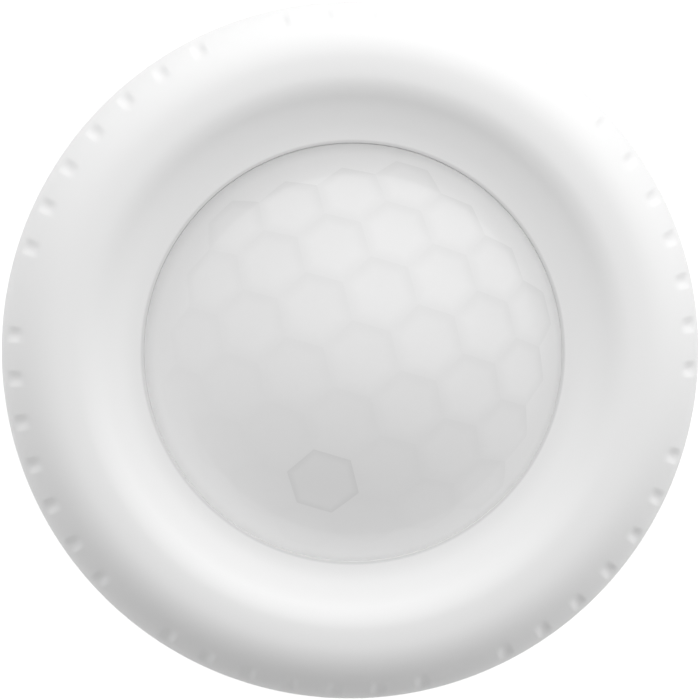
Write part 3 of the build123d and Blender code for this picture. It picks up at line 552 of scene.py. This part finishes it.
def make_sky(options):
    """Soft lights all round, most of them at the picture's top right, and white where it is seen."""
    world = bpy.data.worlds.new("sky")
    bpy.context.scene.world = world
    world.use_nodes = True
    tree = world.node_tree
    tree.nodes.clear()
    way = add_node(tree, "ShaderNodeTexCoord", out="Generated")
    level = None
    for tilt, turn, strength in SKY_LIGHTS:
        tilt, turn = math.radians(tilt), math.radians(turn)
        toward = (math.sin(tilt) * math.cos(turn), math.sin(tilt) * math.sin(turn), math.cos(tilt))
        facing = add_node(tree, "ShaderNodeVectorMath", {"operation": "DOT_PRODUCT"}, "Value",
                          {0: way, 1: toward})
        light = facing.apply("MAXIMUM", 0.0).apply("POWER", options.light_focus) * strength
        level = light if level is None else level + light
    seen = add_node(tree, "ShaderNodeLightPath", out="Is Camera Ray")
    strength = level.apply("MAXIMUM", options.sky_level) * (1 - seen) + seen
    background = add_node(tree, "ShaderNodeBackground", inputs={
        "Color": (1, 1, 1, 1), "Strength": strength})
    output = tree.nodes.new("ShaderNodeOutputWorld")
    tree.links.new(background.socket, output.inputs["Surface"])


def make_camera(options):
    """A long-lens camera above the face, a little to its upper left."""
    data = bpy.data.cameras.new("camera")
    camera = bpy.data.objects.new("camera", data)
    bpy.context.scene.collection.objects.link(camera)
    left = Matrix.Rotation(-options.tilt_left, 3, "Y")
    up = Matrix.Rotation(-options.tilt_up, 3, "X")
    back = left @ up @ UP
    middle = Vector((0, 0, options.aim_height))
    camera.location = middle + back * options.camera_height
    across = Vector((0, 1, 0)).cross(back).normalized()
    camera.rotation_mode = "QUATERNION"
    camera.rotation_quaternion = Matrix((across, back.cross(across), back)).transposed().to_quaternion()
    data.lens = data.sensor_width * options.camera_height * options.face_share / (2 * FACE_RADIUS)
    data.clip_start, data.clip_end = 0.05, 100.0
    bpy.context.scene.camera = camera


# Fascia ring

class SENSOR_PG_ring(bpy.types.PropertyGroup):
    """Form of the fascia ring."""

    lens_gap: length("Lens gap", "Gap between the lens and the ring's inner edge", 0.02 * MM)
    crest_rise: length("Crest rise", "Height of the crest above the valley by the lens", 1.8 * MM)
    crest_inset: length("Crest inset", "Distance of the crest from the outer edge", 8.3 * MM)
    shoulder_width: length("Shoulder width", "Width of the round shoulder", 6.3 * MM)
    shoulder_drop: length("Shoulder drop", "Height from the crest to the straight skirt", 9.2 * MM)
    wall: length("Wall", "Wall of the moulding", 1.8 * MM)
    groups: bpy.props.IntProperty(
        name="Notch groups", description="Groups of finger notches", default=6)
    in_group: bpy.props.IntProperty(name="Notches", description="Notches in a group", default=7)
    pitch: angle("Notch pitch", "Turn from one notch to the next", 7.5)
    turn: angle("First group", "Turn of the first group's middle", 19.5)
    notch_width: length("Notch width", "Width of a notch round the ring", 2.1 * MM)
    notch_length: length("Notch length", "Length of a notch down the shoulder", 4.8 * MM)
    notch_depth: length("Notch depth", "Depth at the middle of a notch", 0.31 * MM)


class SENSOR_OT_ring(bpy.types.Operator):
    """Makes the notched fascia ring with its bayonet hooks"""

    bl_idname = "sensor.ring"
    bl_label = "Fascia ring"

    def execute(self, context):
        options = context.scene.sensor_ring
        crest = RING_HIGH.z
        shoulder = (FACE_RADIUS - options.shoulder_width, crest - 0.12 * MM)
        edge = (FACE_RADIUS, crest - options.shoulder_drop)
        shoulder_ways = ((13.6 * MM, -1.56 * MM), (0, -12.4 * MM))
        bm = turned(ring_outline(options, crest, shoulder, edge, shoulder_ways), RING_COLUMNS)
        refine_shoulder(bm, edge)
        cut_notches(bm, options, shoulder, edge, shoulder_ways)
        add_hooks(bm, crest)
        dress(bm, "fascia_ring_moulding", "ring", "ring_plastic", "fascia_ring")
        return {"FINISHED"}


def ring_outline(options, crest, shoulder, edge, shoulder_ways):
    """The ring's section: lip, concave dish, crest, wide round shoulder and skirt."""
    opening = LENS_HIGH.x - LENS_FLANGE + options.lens_gap
    valley = crest - options.crest_rise
    lip = 0.15 * MM
    under = valley - 1.6 * MM
    crest_point = (FACE_RADIUS - options.crest_inset, crest)
    valley_end = (opening + 2.3 * MM, valley + 0.28 * MM)
    valley_way = (1.95 * MM, 0.46 * MM)
    steep = (crest_point[0] - 2.6 * MM, crest - 0.62 * MM)
    steep_way = (2.6 * MM, 1.13 * MM)
    inner = FACE_RADIUS - options.wall
    inner_top = crest - 7.4 * MM
    outline = [(opening, under)]
    outline += corner((opening + lip, valley - lip), lip, 180, 90, 5)
    outline += cubic(outline[-1], valley_end, (1.95 * MM, 0.1 * MM), valley_way, 6)
    outline += cubic(valley_end, steep, (2.65 * MM, 0.63 * MM), steep_way, 8)
    outline += cubic(steep, crest_point, steep_way, (2.6 * MM, 0), 10)
    outline += cubic(crest_point, shoulder, (2 * MM, 0), (2 * MM, -0.23 * MM), 5)
    outline += cubic(shoulder, edge, *shoulder_ways, SHOULDER_STEPS)
    outline += corner((FACE_RADIUS - 0.3 * MM, RING_LOW.z + 0.3 * MM), 0.3 * MM, 0, -90, 3)
    outline += [(inner, RING_LOW.z), (inner, inner_top)]
    outline += cubic((inner, inner_top), (shoulder[0] - 0.12 * MM, crest - options.wall - 0.12 * MM),
                     (0, 7.5 * MM), (-7 * MM, 0.8 * MM), 8)
    outline += [(crest_point[0] - 0.12 * MM, crest - options.wall), (crest_point[0] - 4.2 * MM, under)]
    return outline


def on_shoulder(place, edge):
    """Whether a point is on the outer face of the shoulder, in the notches' reach."""
    reach = math.hypot(place.x, place.y)
    return reach + place.z / 2 > FACE_RADIUS + 1.1 * MM and place.z > edge[1] + 1.2 * MM


def refine_shoulder(bm, edge):
    """Divides the shoulder's rings of edges more finely, for smooth notches."""
    rings = [
        bit for bit in bm.edges
        if abs(bit.verts[0].co.z - bit.verts[1].co.z) < 1e-6
        and all(on_shoulder(vert.co, edge) for vert in bit.verts)
    ]
    bmesh.ops.subdivide_edges(bm, edges=rings, cuts=3, use_grid_fill=True)


def cut_notches(bm, options, shoulder, edge, ways):
    """Presses a soft finger notch into the shoulder at each of its places."""
    points = cubic(shoulder, edge, *ways, SHOULDER_STEPS)
    near = points[NOTCH_STEP - 1:NOTCH_STEP + 2]
    above, middle, below = (Vector((radius, 0, height)) for radius, height in near)
    along = (below - above).normalized()
    inward = Vector((along.z, 0, -along.x))
    step_round = math.tau / options.groups
    for vert in bm.verts:
        if not on_shoulder(vert.co, edge):
            continue
        angle = math.atan2(vert.co.y, vert.co.x) - options.turn
        group = round(angle / step_round)
        place = round((angle - group * step_round) / options.pitch)
        if abs(place) > options.in_group // 2:
            continue
        turn = Matrix.Rotation(options.turn + group * step_round + place * options.pitch, 3, "Z")
        local = vert.co @ turn
        lengthwise = (local - middle).dot(along) * 2 / options.notch_length
        crosswise = local.y * 2 / options.notch_width
        if abs(lengthwise) < 1 and abs(crosswise) < 1:
            depth = options.notch_depth * ((1 - lengthwise**2) * (1 - crosswise**2)) ** 2
            vert.co = turn @ (local + inward * depth)


def add_hooks(bm, crest):
    """Three L-shaped bayonet hooks under the ring."""
    wall, foot = (35.2 * MM, 36.6 * MM), (33.6 * MM, 36.6 * MM)
    low, high, top = RETAINER_LOW.z - 1.0 * MM, RETAINER_LOW.z + 0.4 * MM, crest - 1.4 * MM
    outline = [(foot[0], low), (foot[1], low), (wall[1], top), (wall[0], top)]
    outline += [(wall[0], high), (foot[0], high)]
    for hook in range(3):
        arc_block(bm, outline, math.radians(10 + 120 * hook), math.radians(20))


# Lens

class SENSOR_PG_lens(bpy.types.PropertyGroup):
    """Form of the lens dome."""

    pitch: angle("Lenslet pitch", "Turn from one lenslet to the next", 18.8)
    turn: angle("Lattice turn", "Turn of the lattice about the lens axis", 13.5)
    stretch: bpy.props.FloatProperty(
        name="Lattice stretch", description="How much wider the lenslets get towards the edge",
        default=0.0044, precision=4)
    rings: bpy.props.IntProperty(
        name="Rings", description="Rings of lenslets round the middle one", default=3)
    relief: length("Relief", "Depth of each lenslet's hollow", 0.05 * MM)
    flange: length("Flange", "Width of the flange round the dome", LENS_FLANGE)
    wall: length("Wall", "Wall of the dome", 1.0 * MM)
    passing: bpy.props.FloatProperty(
        name="Passing light", description="Share of the light on the far side that comes through",
        default=0.47)
    columns: bpy.props.IntProperty(
        name="Columns", description="Mesh columns round the dome", default=480)
    rows: bpy.props.IntProperty(name="Rows", description="Mesh rows from edge to top", default=130)


class SENSOR_OT_lens(bpy.types.Operator):
    """Makes the dome lens with its hexagon lattice"""

    bl_idname = "sensor.lens"
    bl_label = "Lens dome"

    def execute(self, context):
        options = context.scene.sensor_lens
        flange, base = LENS_HIGH.x, LENS_LOW.z
        radius = flange - options.flange
        middle = LENS_HIGH.z - radius
        inner = radius - options.wall
        outline = [(inner, base), (flange, base), (flange, base + 1.2 * MM), (radius, base + 1.2 * MM)]
        outline += corner((0, middle), radius, 0, 90, options.rows)
        outline += corner((0, middle), inner, 90, 0, options.rows // 3)
        bm = turned([(max(reach, 0.0), height) for reach, height in outline], options.columns)
        hollow_lenslets(bm, options, middle, radius)
        lens = finished(bm, "lens_dome_moulding", milky_lens(options, middle, radius))
        # The thin dome lets the light through to what stands round and behind it
        lens.visible_shadow = lens.visible_diffuse = lens.visible_transmission = False
        seat(lens, "base", "lens", "lens_dome")
        return {"FINISHED"}


def lattice_place(options, way):
    """A direction's place on the flat lattice, in lenslet pitches."""
    polar = math.acos(max(-1.0, min(1.0, way.z))) / options.pitch
    polar *= 1 - options.stretch * polar**2
    azimuth = math.atan2(way.y, way.x) - options.turn
    return polar * math.cos(azimuth), polar * math.sin(azimuth)


def from_nearest(across, up):
    """Offset from the nearest lenslet's middle, and that middle's ring."""
    tall = math.sqrt(3)
    offsets = []
    for half in (0.0, 0.5):
        column, row = round(across - half), round(up / tall - half)
        offsets.append((across - half - column, up - (row + half) * tall))
    across_off, up_off = min(offsets, key=lambda off: math.hypot(*off))
    row = (up - up_off) * 2 / tall
    column = across - across_off - row / 2
    return across_off, up_off, max(abs(column), abs(row), abs(column + row))


def hollow_lenslets(bm, options, middle, radius):
    """Presses a shallow hollow into the dome over each lenslet."""
    centre = Vector((0, 0, middle))
    for vert in bm.verts:
        spoke = vert.co - centre
        if spoke.z < 0 or abs(spoke.length - radius) > 1e-5:
            continue
        way = spoke.normalized()
        across, up, ring = from_nearest(*lattice_place(options, way))
        if ring < options.rings + 0.5:
            hollow = max(0.0, 1 - (across**2 + up**2) / 0.3) * options.relief
            vert.co = centre + way * (radius - hollow)


def milky_lens(options, middle, radius):
    """Milky polyethylene with a lattice of pale lenslets, and painted shade on the lenslets' borders
    and sides towards the light, at the dome's edge and round the collar circle.
    """
    finish = Finish("lens_finish", Specular_IOR_Level=0.35)
    centred = finish.node("ShaderNodeMapping", {"vector_type": "TEXTURE"}, inputs={
        "Vector": finish.place, "Location": (0, 0, middle), "Rotation": (0, 0, options.turn)})
    x, y, z = finish.parts(centred)
    flat = (x * x + y * y + 1e-12).apply("SQRT")
    polar = flat.apply("ARCTAN2", z) / options.pitch
    share = polar * (1 - polar * polar * options.stretch) / flat
    across, up = x * share, y * share
    tall = math.sqrt(3)
    odd_x = across.apply("FLOORED_MODULO", 1.0) - 0.5
    odd_y = up.apply("FLOORED_MODULO", tall) - tall / 2
    even_x = (across - 0.5).apply("FLOORED_MODULO", 1.0) - 0.5
    even_y = (up - tall / 2).apply("FLOORED_MODULO", tall) - tall / 2
    odd = (odd_x * odd_x + odd_y * odd_y).apply("LESS_THAN", even_x * even_x + even_y * even_y)
    off_x, off_y = even_x + odd * (odd_x - even_x), even_y + odd * (odd_y - even_y)
    wall = abs(off_x).apply("MAXIMUM", abs(off_x) * 0.5 + abs(off_y) * (tall / 2))
    row = (up - off_y) * (2 / tall)
    column = across - off_x - row * 0.5
    ring = abs(column).apply("MAXIMUM", abs(row)).apply("MAXIMUM", abs(column + row))
    inside = ring.apply("LESS_THAN", options.rings + 0.5)
    window = (abs(column) + abs(row + 2.0)).apply("LESS_THAN", 0.5)

    world_x, world_y, _ = finish.parts(finish.place)
    # Painted shade on the lenslets: darker borders and a darker side towards the light, strongest on
    # the side of the dome that faces the light
    lit_side = ((world_x * 0.55 + world_y * 0.83) / radius).rise(-0.75, 0.6)
    toward_light = off_x * 0.64 + off_y * 0.77
    border = wall.rise(0.28, 0.5)
    lenslet_shade = inside * (lit_side * 0.82 + 0.18) * (toward_light.rise(-0.1, 0.5) * 0.45 + border * 0.55)
    # Painted shade: a dark line at the dome's edge, a darker zone inside the collar circle on the lower
    # side and one outside it on the upper side
    rim = (world_x * world_x + world_y * world_y).apply("SQRT") / radius
    low_collar_shade = (1 - rim.rise(0.84, 0.865)) * (1 - (world_y / radius).rise(-0.7, 0.1))
    high_collar_shade = rim.rise(0.855, 0.875) * (world_y / radius).rise(0.2, 0.8)
    shadow = lenslet_shade * 0.33 + low_collar_shade * 0.10 + high_collar_shade * 0.15 + rim.rise(0.95, 1.0) * 0.35
    window_dark = window * (wall.rise(0.38, 0.5) * 0.6 + 0.32)
    flow = finish.grain(60.0, 3.0)
    body = finish.mix(flow, (0.88, 0.88, 0.88, 1), (0.90, 0.90, 0.90, 1))
    middle_grey, shade_grey, window_grey = ((grey, grey, grey, 1) for grey in (0.89, 0.72, 0.79))
    finish.feed("Base Color", finish.mix(window_dark, finish.mix(shadow, body, shade_grey), window_grey))
    texture = finish.grain(3600.0, 2.0)
    finish.feed("Roughness", 0.30 + texture * 0.06 + flow * 0.06)
    finish.bump(texture, 2e-6)
    # The light that comes through carries the same painted shade
    finish.let_through(rim.rise(0.83, 0.89) * 0.1 + options.passing, middle_grey,
                       (shadow, shade_grey), (window_dark, window_grey))
    return finish.material


# Mouldings behind the face

class SENSOR_PG_body(bpy.types.PropertyGroup):
    """Small forms of the housing, clips, terminals and covers."""

    edge_round: length("Edge round", "Round on the edges of the mouldings", 0.22 * MM)
    clip_reach: length("Clip pivot", "Distance of a clip's pivot from the lens axis", 31.8 * MM)
    clip_depth: length("Clip depth", "Depth of a clip's pivot behind the ceiling face", 24.0 * MM)
    clip_tilt: angle("Clip tilt", "Lean of a clip's arm at rest", 12.0)
    coil_radius: length("Coil radius", "Middle radius of the spring's coil", 1.2 * MM)
    wire_radius: length("Wire radius", "Radius of the spring wire", 0.27 * MM)
    coil_turns: bpy.props.FloatProperty(
        name="Coil turns", description="Turns of the spring's coil", default=6.5)
    coil_half: length("Coil half width", "Half the coil's width between wire middles", 1.9 * MM)
    dial_x: length("Dial place X", "Distance of each dial from the middle", 17.8 * MM)
    dial_y: length("Dial place Y", "Place of the dials towards the hinge", 8.0 * MM)
    pole_pitch: length("Pole pitch", "Distance between two terminals", 5.0 * MM)


class SENSOR_OT_housing(bpy.types.Operator):
    """Makes the housing with softened edges"""

    bl_idname = "sensor.housing"
    bl_label = "Housing"

    def execute(self, context):
        bm = softened("housing", context.scene.sensor_body.edge_round)
        dress(bm, "housing_moulding", "base", "housing_plastic", "housing")
        return {"FINISHED"}


def clip_frame(options, side):
    """Axes of a clip's arm: X runs along the arm, Y towards the can, Z across it."""
    lean = options.clip_tilt
    along = Vector((side * math.sin(lean), 0, math.cos(lean)))
    inward = Vector((-side * math.cos(lean), 0, math.sin(lean)))
    across = along.cross(inward)
    pivot = Vector((side * options.clip_reach, 0, -options.clip_depth))
    return Matrix.Translation(pivot) @ Matrix((along, inward, across)).transposed().to_4x4()


class SENSOR_OT_clips(bpy.types.Operator):
    """Makes the two spring clips: arm with a stamped bead, ridged pad, pin and wound spring"""

    bl_idname = "sensor.clips"
    bl_label = "Spring clips"

    def execute(self, context):
        options = context.scene.sensor_body
        for name, side in (("right", 1), ("left", -1)):
            make_arm(options, name, side)
            make_pad(options, name, side)
            make_spring(options, name, side)
            bm = softened(f"clip_pin_{name}", 0.15 * MM)
            dress(bm, f"clip_pin_{name}_turned", "base", "zinc_steel", f"clip_pin_{name}")
        return {"FINISHED"}


def make_arm(options, name, side):
    """A clip's arm with a stiffening bead pressed out along its plate."""
    bm = softened(f"clip_arm_{name}", 0.12 * MM)
    place = clip_frame(options, side)
    made = bmesh.ops.create_uvsphere(bm, u_segments=24, v_segments=12, radius=1.0)
    for vert in made["verts"]:
        half = 3.4 * MM if vert.co.x > 0 else -3.4 * MM
        vert.co = Vector((vert.co.x * 1.6 * MM + half, vert.co.y * 0.5 * MM, vert.co.z * 1.6 * MM))
    bmesh.ops.translate(bm, verts=made["verts"], vec=(7.6 * MM, -2.3 * MM, 0))
    bmesh.ops.transform(bm, matrix=place, verts=made["verts"])
    dress(bm, f"clip_arm_{name}_stamping", f"{name}_clip", "spring_steel", f"clip_arm_{name}")


def make_pad(options, name, side):
    """A clip's rubber sleeve with grip ridges across both faces."""
    bm = softened(f"clip_pad_{name}", 0.15 * MM)
    place = clip_frame(options, side)
    for ridge in range(PAD_RIDGES):
        for face in (-2.9 * MM, -1.2 * MM):
            middle = Vector((13.8 * MM + ridge * 1.1 * MM, face, 0))
            size = Vector((0.3 * MM, 0.22 * MM, 5.9 * MM))
            rounded_block(bm, middle - size, middle + size, 0.14 * MM, place)
    dress(bm, f"clip_pad_{name}_sleeve", f"{name}_clip", "pad_rubber", f"clip_pad_{name}")


def make_spring(options, name, side):
    """A wound torsion spring: its coil and can leg on the base, its arm leg on the clip."""
    turns, wire, coil = options.coil_turns, options.wire_radius, options.coil_radius
    steps = round(turns * 28)
    bm = bmesh.new()
    ring = bmesh.ops.create_circle(bm, cap_ends=True, radius=wire, segments=14)
    start = Vector((options.clip_reach + coil, -options.coil_half, -options.clip_depth))
    bmesh.ops.translate(bm, verts=ring["verts"], vec=start)
    pivot = Vector((options.clip_reach, 0, -options.clip_depth))
    wound = bmesh.ops.spin(
        bm, geom=bm.faces[:], cent=pivot, axis=(0, 1, 0), dvec=(0, 2 * options.coil_half / steps, 0),
        angle=turns * math.tau, steps=steps, use_merge=False, use_duplicate=False,
    )
    tip = [face for face in wound["geom_last"] if isinstance(face, bmesh.types.BMFace)]
    leg = bmesh.ops.extrude_face_region(bm, geom=tip)
    leg_verts = [vert for vert in leg["geom"] if isinstance(vert, bmesh.types.BMVert)]
    bmesh.ops.translate(bm, verts=leg_verts, vec=(0, 0, 7.7 * MM))
    bmesh.ops.delete(bm, geom=tip, context="FACES_ONLY")
    half_turn = Matrix.Rotation(0 if side > 0 else math.pi, 4, "Z")
    bmesh.ops.transform(bm, matrix=half_turn, verts=bm.verts)
    dress(bm, f"clip_spring_{name}_coil", "base",
          "spring_steel", f"clip_spring_{name}", smooth_angle=60)

    bm = bmesh.new()
    place = Matrix.Translation((options.clip_reach, -options.coil_half, -options.clip_depth))
    place @= Matrix.Rotation(options.clip_tilt, 4, "Y")
    bmesh.ops.create_cone(bm, cap_ends=True, segments=14, radius1=wire, radius2=wire, depth=9 * MM,
                          matrix=place @ Matrix.Translation((coil, 0, 4.5 * MM)))
    bmesh.ops.transform(bm, matrix=half_turn, verts=bm.verts)
    dress(bm, f"clip_spring_{name}_leg", f"{name}_clip", "spring_steel", smooth_angle=60)


class SENSOR_OT_rear_cover(bpy.types.Operator):
    """Makes the rear cover with a raised scale round each dial"""

    bl_idname = "sensor.rear_cover"
    bl_label = "Rear cover"

    def execute(self, context):
        options = context.scene.sensor_body
        bm = softened("rear_cover", options.edge_round)
        for side in (-1, 1):
            middle = Matrix.Translation((side * options.dial_x, options.dial_y, REAR_FACE))
            for mark in range(9):
                turn = math.radians(-135 + mark * 33.75) + (0 if side > 0 else math.pi)
                low = Vector((3.7, -0.14, -0.25)) * MM
                high = Vector((4.7 if mark % 4 == 0 else 4.3, 0.14, 0.1)) * MM
                rounded_block(bm, low, high, 0.08 * MM, middle @ Matrix.Rotation(turn, 4, "Z"), 1)
        dress(bm, "rear_cover_moulding", "base", "housing_plastic", "rear_cover")
        return {"FINISHED"}


class SENSOR_OT_terminals(bpy.types.Operator):
    """Makes the terminal block with its partitions, and the release buttons"""

    bl_idname = "sensor.terminals"
    bl_label = "Terminals"

    def execute(self, context):
        options = context.scene.sensor_body
        bm = softened("terminal_block", 0.14 * MM)
        for wall in range(POLES + 1):
            x = (wall - POLES / 2) * options.pole_pitch
            low = Vector((x - 0.35 * MM, BLOCK_LOW.y + 0.3 * MM, BLOCK_LOW.z - 0.45 * MM))
            high = Vector((x + 0.35 * MM, BLOCK_HIGH.y - 0.3 * MM, BLOCK_LOW.z + 0.4 * MM))
            rounded_block(bm, low, high, 0.15 * MM)
        dress(bm, "terminal_block_moulding", "base", "terminal_grey", "terminal_block")
        for pole in range(1, POLES + 1):
            self.make_button(f"release_button_{pole}", f"button_{pole}")
        return {"FINISHED"}

    def make_button(self, node, body):
        """A release button with a sunk place for a screwdriver's tip."""
        bm = softened(node, 0.12 * MM)
        top = min(bm.faces, key=lambda face: (round(face.calc_center_median().z, 6), -face.calc_area()))
        bmesh.ops.inset_region(bm, faces=[top], thickness=0.7 * MM, depth=0)
        bmesh.ops.inset_region(bm, faces=[top], thickness=0.15 * MM, depth=-0.35 * MM)
        dress(bm, f"{node}_cap", body, "button_orange", node, smooth_angle=25)


class SENSOR_OT_dials(bpy.types.Operator):
    """Makes the two setting dials with fluted edges"""

    bl_idname = "sensor.dials"
    bl_label = "Dials"

    def execute(self, context):
        options = context.scene.sensor_body
        for name, body, side in (("time_dial", "time_setting", -1), ("light_dial", "light_setting", 1)):
            bm = softened(name, 0.1 * MM)
            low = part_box(name)[0].z
            middle = Matrix.Translation((side * options.dial_x, options.dial_y, low))
            inner, outer = Vector((2.9, -0.16, 0.5)) * MM, Vector((3.28, 0.16, 2.45)) * MM
            for flute in range(DIAL_FLUTES):
                turn = math.tau * (flute + 0.5) / DIAL_FLUTES
                rounded_block(bm, inner, outer, 0.1 * MM, middle @ Matrix.Rotation(turn, 4, "Z"), 1)
            dress(bm, f"{name}_knob", body, "dial_plastic", name)
        return {"FINISHED"}


class SENSOR_OT_cable_clamp(bpy.types.Operator):
    """Makes the cable clamp bar with softened edges"""

    bl_idname = "sensor.cable_clamp"
    bl_label = "Cable clamp"

    def execute(self, context):
        bm = softened("cable_clamp", 0.2 * MM)
        dress(bm, "cable_clamp_bar", "base", "clamp_plastic", "cable_clamp")
        return {"FINISHED"}


class SENSOR_OT_lid(bpy.types.Operator):
    """Makes the hinged terminal cover with a sunk panel and grip bars"""

    bl_idname = "sensor.lid"
    bl_label = "Terminal cover"

    def execute(self, context):
        bm = softened("terminal_cover", 0.25 * MM)
        floor = [
            face for face in bm.faces
            if face.normal.z < -0.999 and face.calc_center_median().z < LID_LOW.z + 1e-5
        ]
        for thickness in (1.6 * MM, 0.3 * MM):
            bmesh.ops.inset_region(bm, faces=floor, thickness=thickness, depth=0)
        panel = {vert for face in floor for vert in face.verts}
        bmesh.ops.translate(bm, verts=list(panel), vec=(0, 0, 0.3 * MM))
        for vert in bm.verts:
            vert.co.z = max(vert.co.z, LID_LOW.z)
        for bar in range(GRIP_BARS):
            for side in (-1, 1):
                x = side * (7.2 + bar * 1.9) * MM
                low = Vector((x - 0.4 * MM, LID_LOW.y - 0.35 * MM, LID_LOW.z + 3.0 * MM))
                high = Vector((x + 0.4 * MM, LID_LOW.y + 0.4 * MM, LID_HIGH.z - 2.4 * MM))
                rounded_block(bm, low, high, 0.25 * MM)
        dress(bm, "terminal_cover_moulding", "lid", "housing_plastic", "terminal_cover")
        bm = softened("cover_hinge_pin", 0.2 * MM)
        dress(bm, "cover_hinge_pin_turned", "base", "zinc_steel", "cover_hinge_pin")
        return {"FINISHED"}


class SENSOR_OT_screws(bpy.types.Operator):
    """Makes the cross-recess screws of the rear cover, cable clamp and lens retainer"""

    bl_idname = "sensor.screws"
    bl_label = "Screws"

    def execute(self, context):
        down = Matrix.Rotation(math.pi, 4, "X")
        sides = (-1, 1)
        rear = [Matrix.Translation((side * 23.9 * MM, 0, REAR_FACE)) @ down for side in sides]
        self.make_screws("rear_cover_screws", rear, 2.1 * MM, 1.5 * MM, 1.15 * MM, 7.0 * MM)
        clamp = [
            Matrix.Translation((side * 9.0 * MM, -13.5 * MM, CLAMP_LOW.z)) @ down for side in sides]
        self.make_screws("clamp_screws", clamp, 2.2 * MM, 1.4 * MM, 1.15 * MM, 8.2 * MM)
        ring = [
            Matrix.Rotation(math.radians(30 + 120 * screw), 4, "Z")
            @ Matrix.Translation((29.1 * MM, 0, RETAINER_HIGH.z - 0.9 * MM)) for screw in range(3)
        ]
        self.make_screws("retainer_screws", ring, 1.7 * MM, 1.1 * MM, 0.85 * MM, 6.5 * MM)
        return {"FINISHED"}

    def make_screws(self, node, places, head, height, shank, length):
        """One piece of like screws, each with a domed head and a cross recess."""
        bm = bmesh.new()
        for place in places:
            add_screw(bm, place, head, height, shank, length)
        dress(bm, f"{node}_cross", "base", "zinc_steel", node, smooth_angle=30)


def add_screw(bm, place, head, height, shank, length):
    """A pan-head screw whose head seats at the place's origin and faces +Z."""
    part = bmesh.new()
    crown = 0.62 * head
    outline = [(0, -length), (0.6 * shank, -length), (shank, -length + 0.8 * MM), (shank, 0), (head, 0)]
    outline += [(head, 0.4 * height)]
    outline += cubic((head, 0.4 * height), (crown, height), (0, 0.8 * height), (-0.7 * head, 0), 6)
    bmesh.ops.spin(part, geom=profile_wire(part, outline, False), cent=(0, 0, 0), axis=UP,
                   angle=math.tau, steps=32, use_merge=True, use_duplicate=False)
    bmesh.ops.remove_doubles(part, verts=part.verts, dist=1e-7)
    rim = [edge for edge in part.edges if edge.is_boundary]
    cross = []
    for quarter in range(4):
        turn = Matrix.Rotation(quarter * math.pi / 2, 3, "Z")
        for x, y in ((0.46, -0.1), (0.46, 0.1), (0.13, 0.13)):
            cross.append(part.verts.new(turn @ Vector((x * head, y * head, height))))
    slot = [part.edges.new((cross[n], cross[(n + 1) % len(cross)])) for n in range(len(cross))]
    bmesh.ops.bridge_loops(part, edges=rim + slot)
    deep = bmesh.ops.extrude_edge_only(part, edges=slot)["geom"]
    low = [vert for vert in deep if isinstance(vert, bmesh.types.BMVert)]
    bmesh.ops.translate(part, verts=low, vec=(0, 0, -0.6 * height))
    bmesh.ops.scale(part, verts=low, vec=(0.6, 0.6, 1.0))
    bottom = [item for item in deep if isinstance(item, bmesh.types.BMEdge)]
    bmesh.ops.contextual_create(part, geom=bottom)
    bmesh.ops.recalc_face_normals(part, faces=part.faces)
    bmesh.ops.transform(part, matrix=place, verts=part.verts)
    shape = bpy.data.meshes.new("screw_shape")
    part.to_mesh(shape)
    part.free()
    bm.from_mesh(shape)
    bpy.data.meshes.remove(shape)


# Finishes of the carried-over nodes

class SENSOR_OT_finishes(bpy.types.Operator):
    """Gives every carried-over node but those of the lens the finish of its slot"""

    bl_idname = "sensor.finishes"
    bl_label = "Finishes"

    def execute(self, context):
        slots = {part["node"]: part["material_slot"] for part in frame["record"]["subparts"]}
        for node, piece in frame["nodes"].items():
            if slots[node] != "lens":
                piece.data.materials.clear()
                piece.data.materials.append(slot_finish(slots[node]))
        return {"FINISHED"}


class SENSOR_PT_panel(bpy.types.Panel):
    """Lists the sizes and the steps of the sensor's dressing."""

    bl_idname = "SENSOR_PT_panel"
    bl_label = "Motion sensor"
    bl_space_type = "VIEW_3D"
    bl_region_type = "UI"
    bl_category = "Sensor"

    def draw(self, context):
        for group in GROUPS:
            options = getattr(context.scene, group)
            box = self.layout.box()
            for name in type(options).__annotations__:
                box.prop(options, name)
        for step in STEPS:
            self.layout.operator(step.bl_idname)


GROUPS = {
    "sensor_stage": SENSOR_PG_stage,
    "sensor_ring": SENSOR_PG_ring,
    "sensor_lens": SENSOR_PG_lens,
    "sensor_body": SENSOR_PG_body,
}
STEPS = (
    SENSOR_OT_stage,
    SENSOR_OT_finishes,
    SENSOR_OT_ring,
    SENSOR_OT_lens,
    SENSOR_OT_housing,
    SENSOR_OT_clips,
    SENSOR_OT_rear_cover,
    SENSOR_OT_terminals,
    SENSOR_OT_dials,
    SENSOR_OT_cable_clamp,
    SENSOR_OT_lid,
    SENSOR_OT_screws,
)


def register():
    for name, group in GROUPS.items():
        bpy.utils.register_class(group)
        setattr(bpy.types.Scene, name, bpy.props.PointerProperty(type=group))
    for step in (*STEPS, SENSOR_PT_panel):
        bpy.utils.register_class(step)


def unregister():
    for step in reversed((*STEPS, SENSOR_PT_panel)):
        bpy.utils.unregister_class(step)
    for name, group in GROUPS.items():
        delattr(bpy.types.Scene, name)
        bpy.utils.unregister_class(group)


def main():
    register()
    for step in STEPS:
        family, name = step.bl_idname.split(".")
        getattr(getattr(bpy.ops, family), name)()


if __name__ == "__main__":
    main()
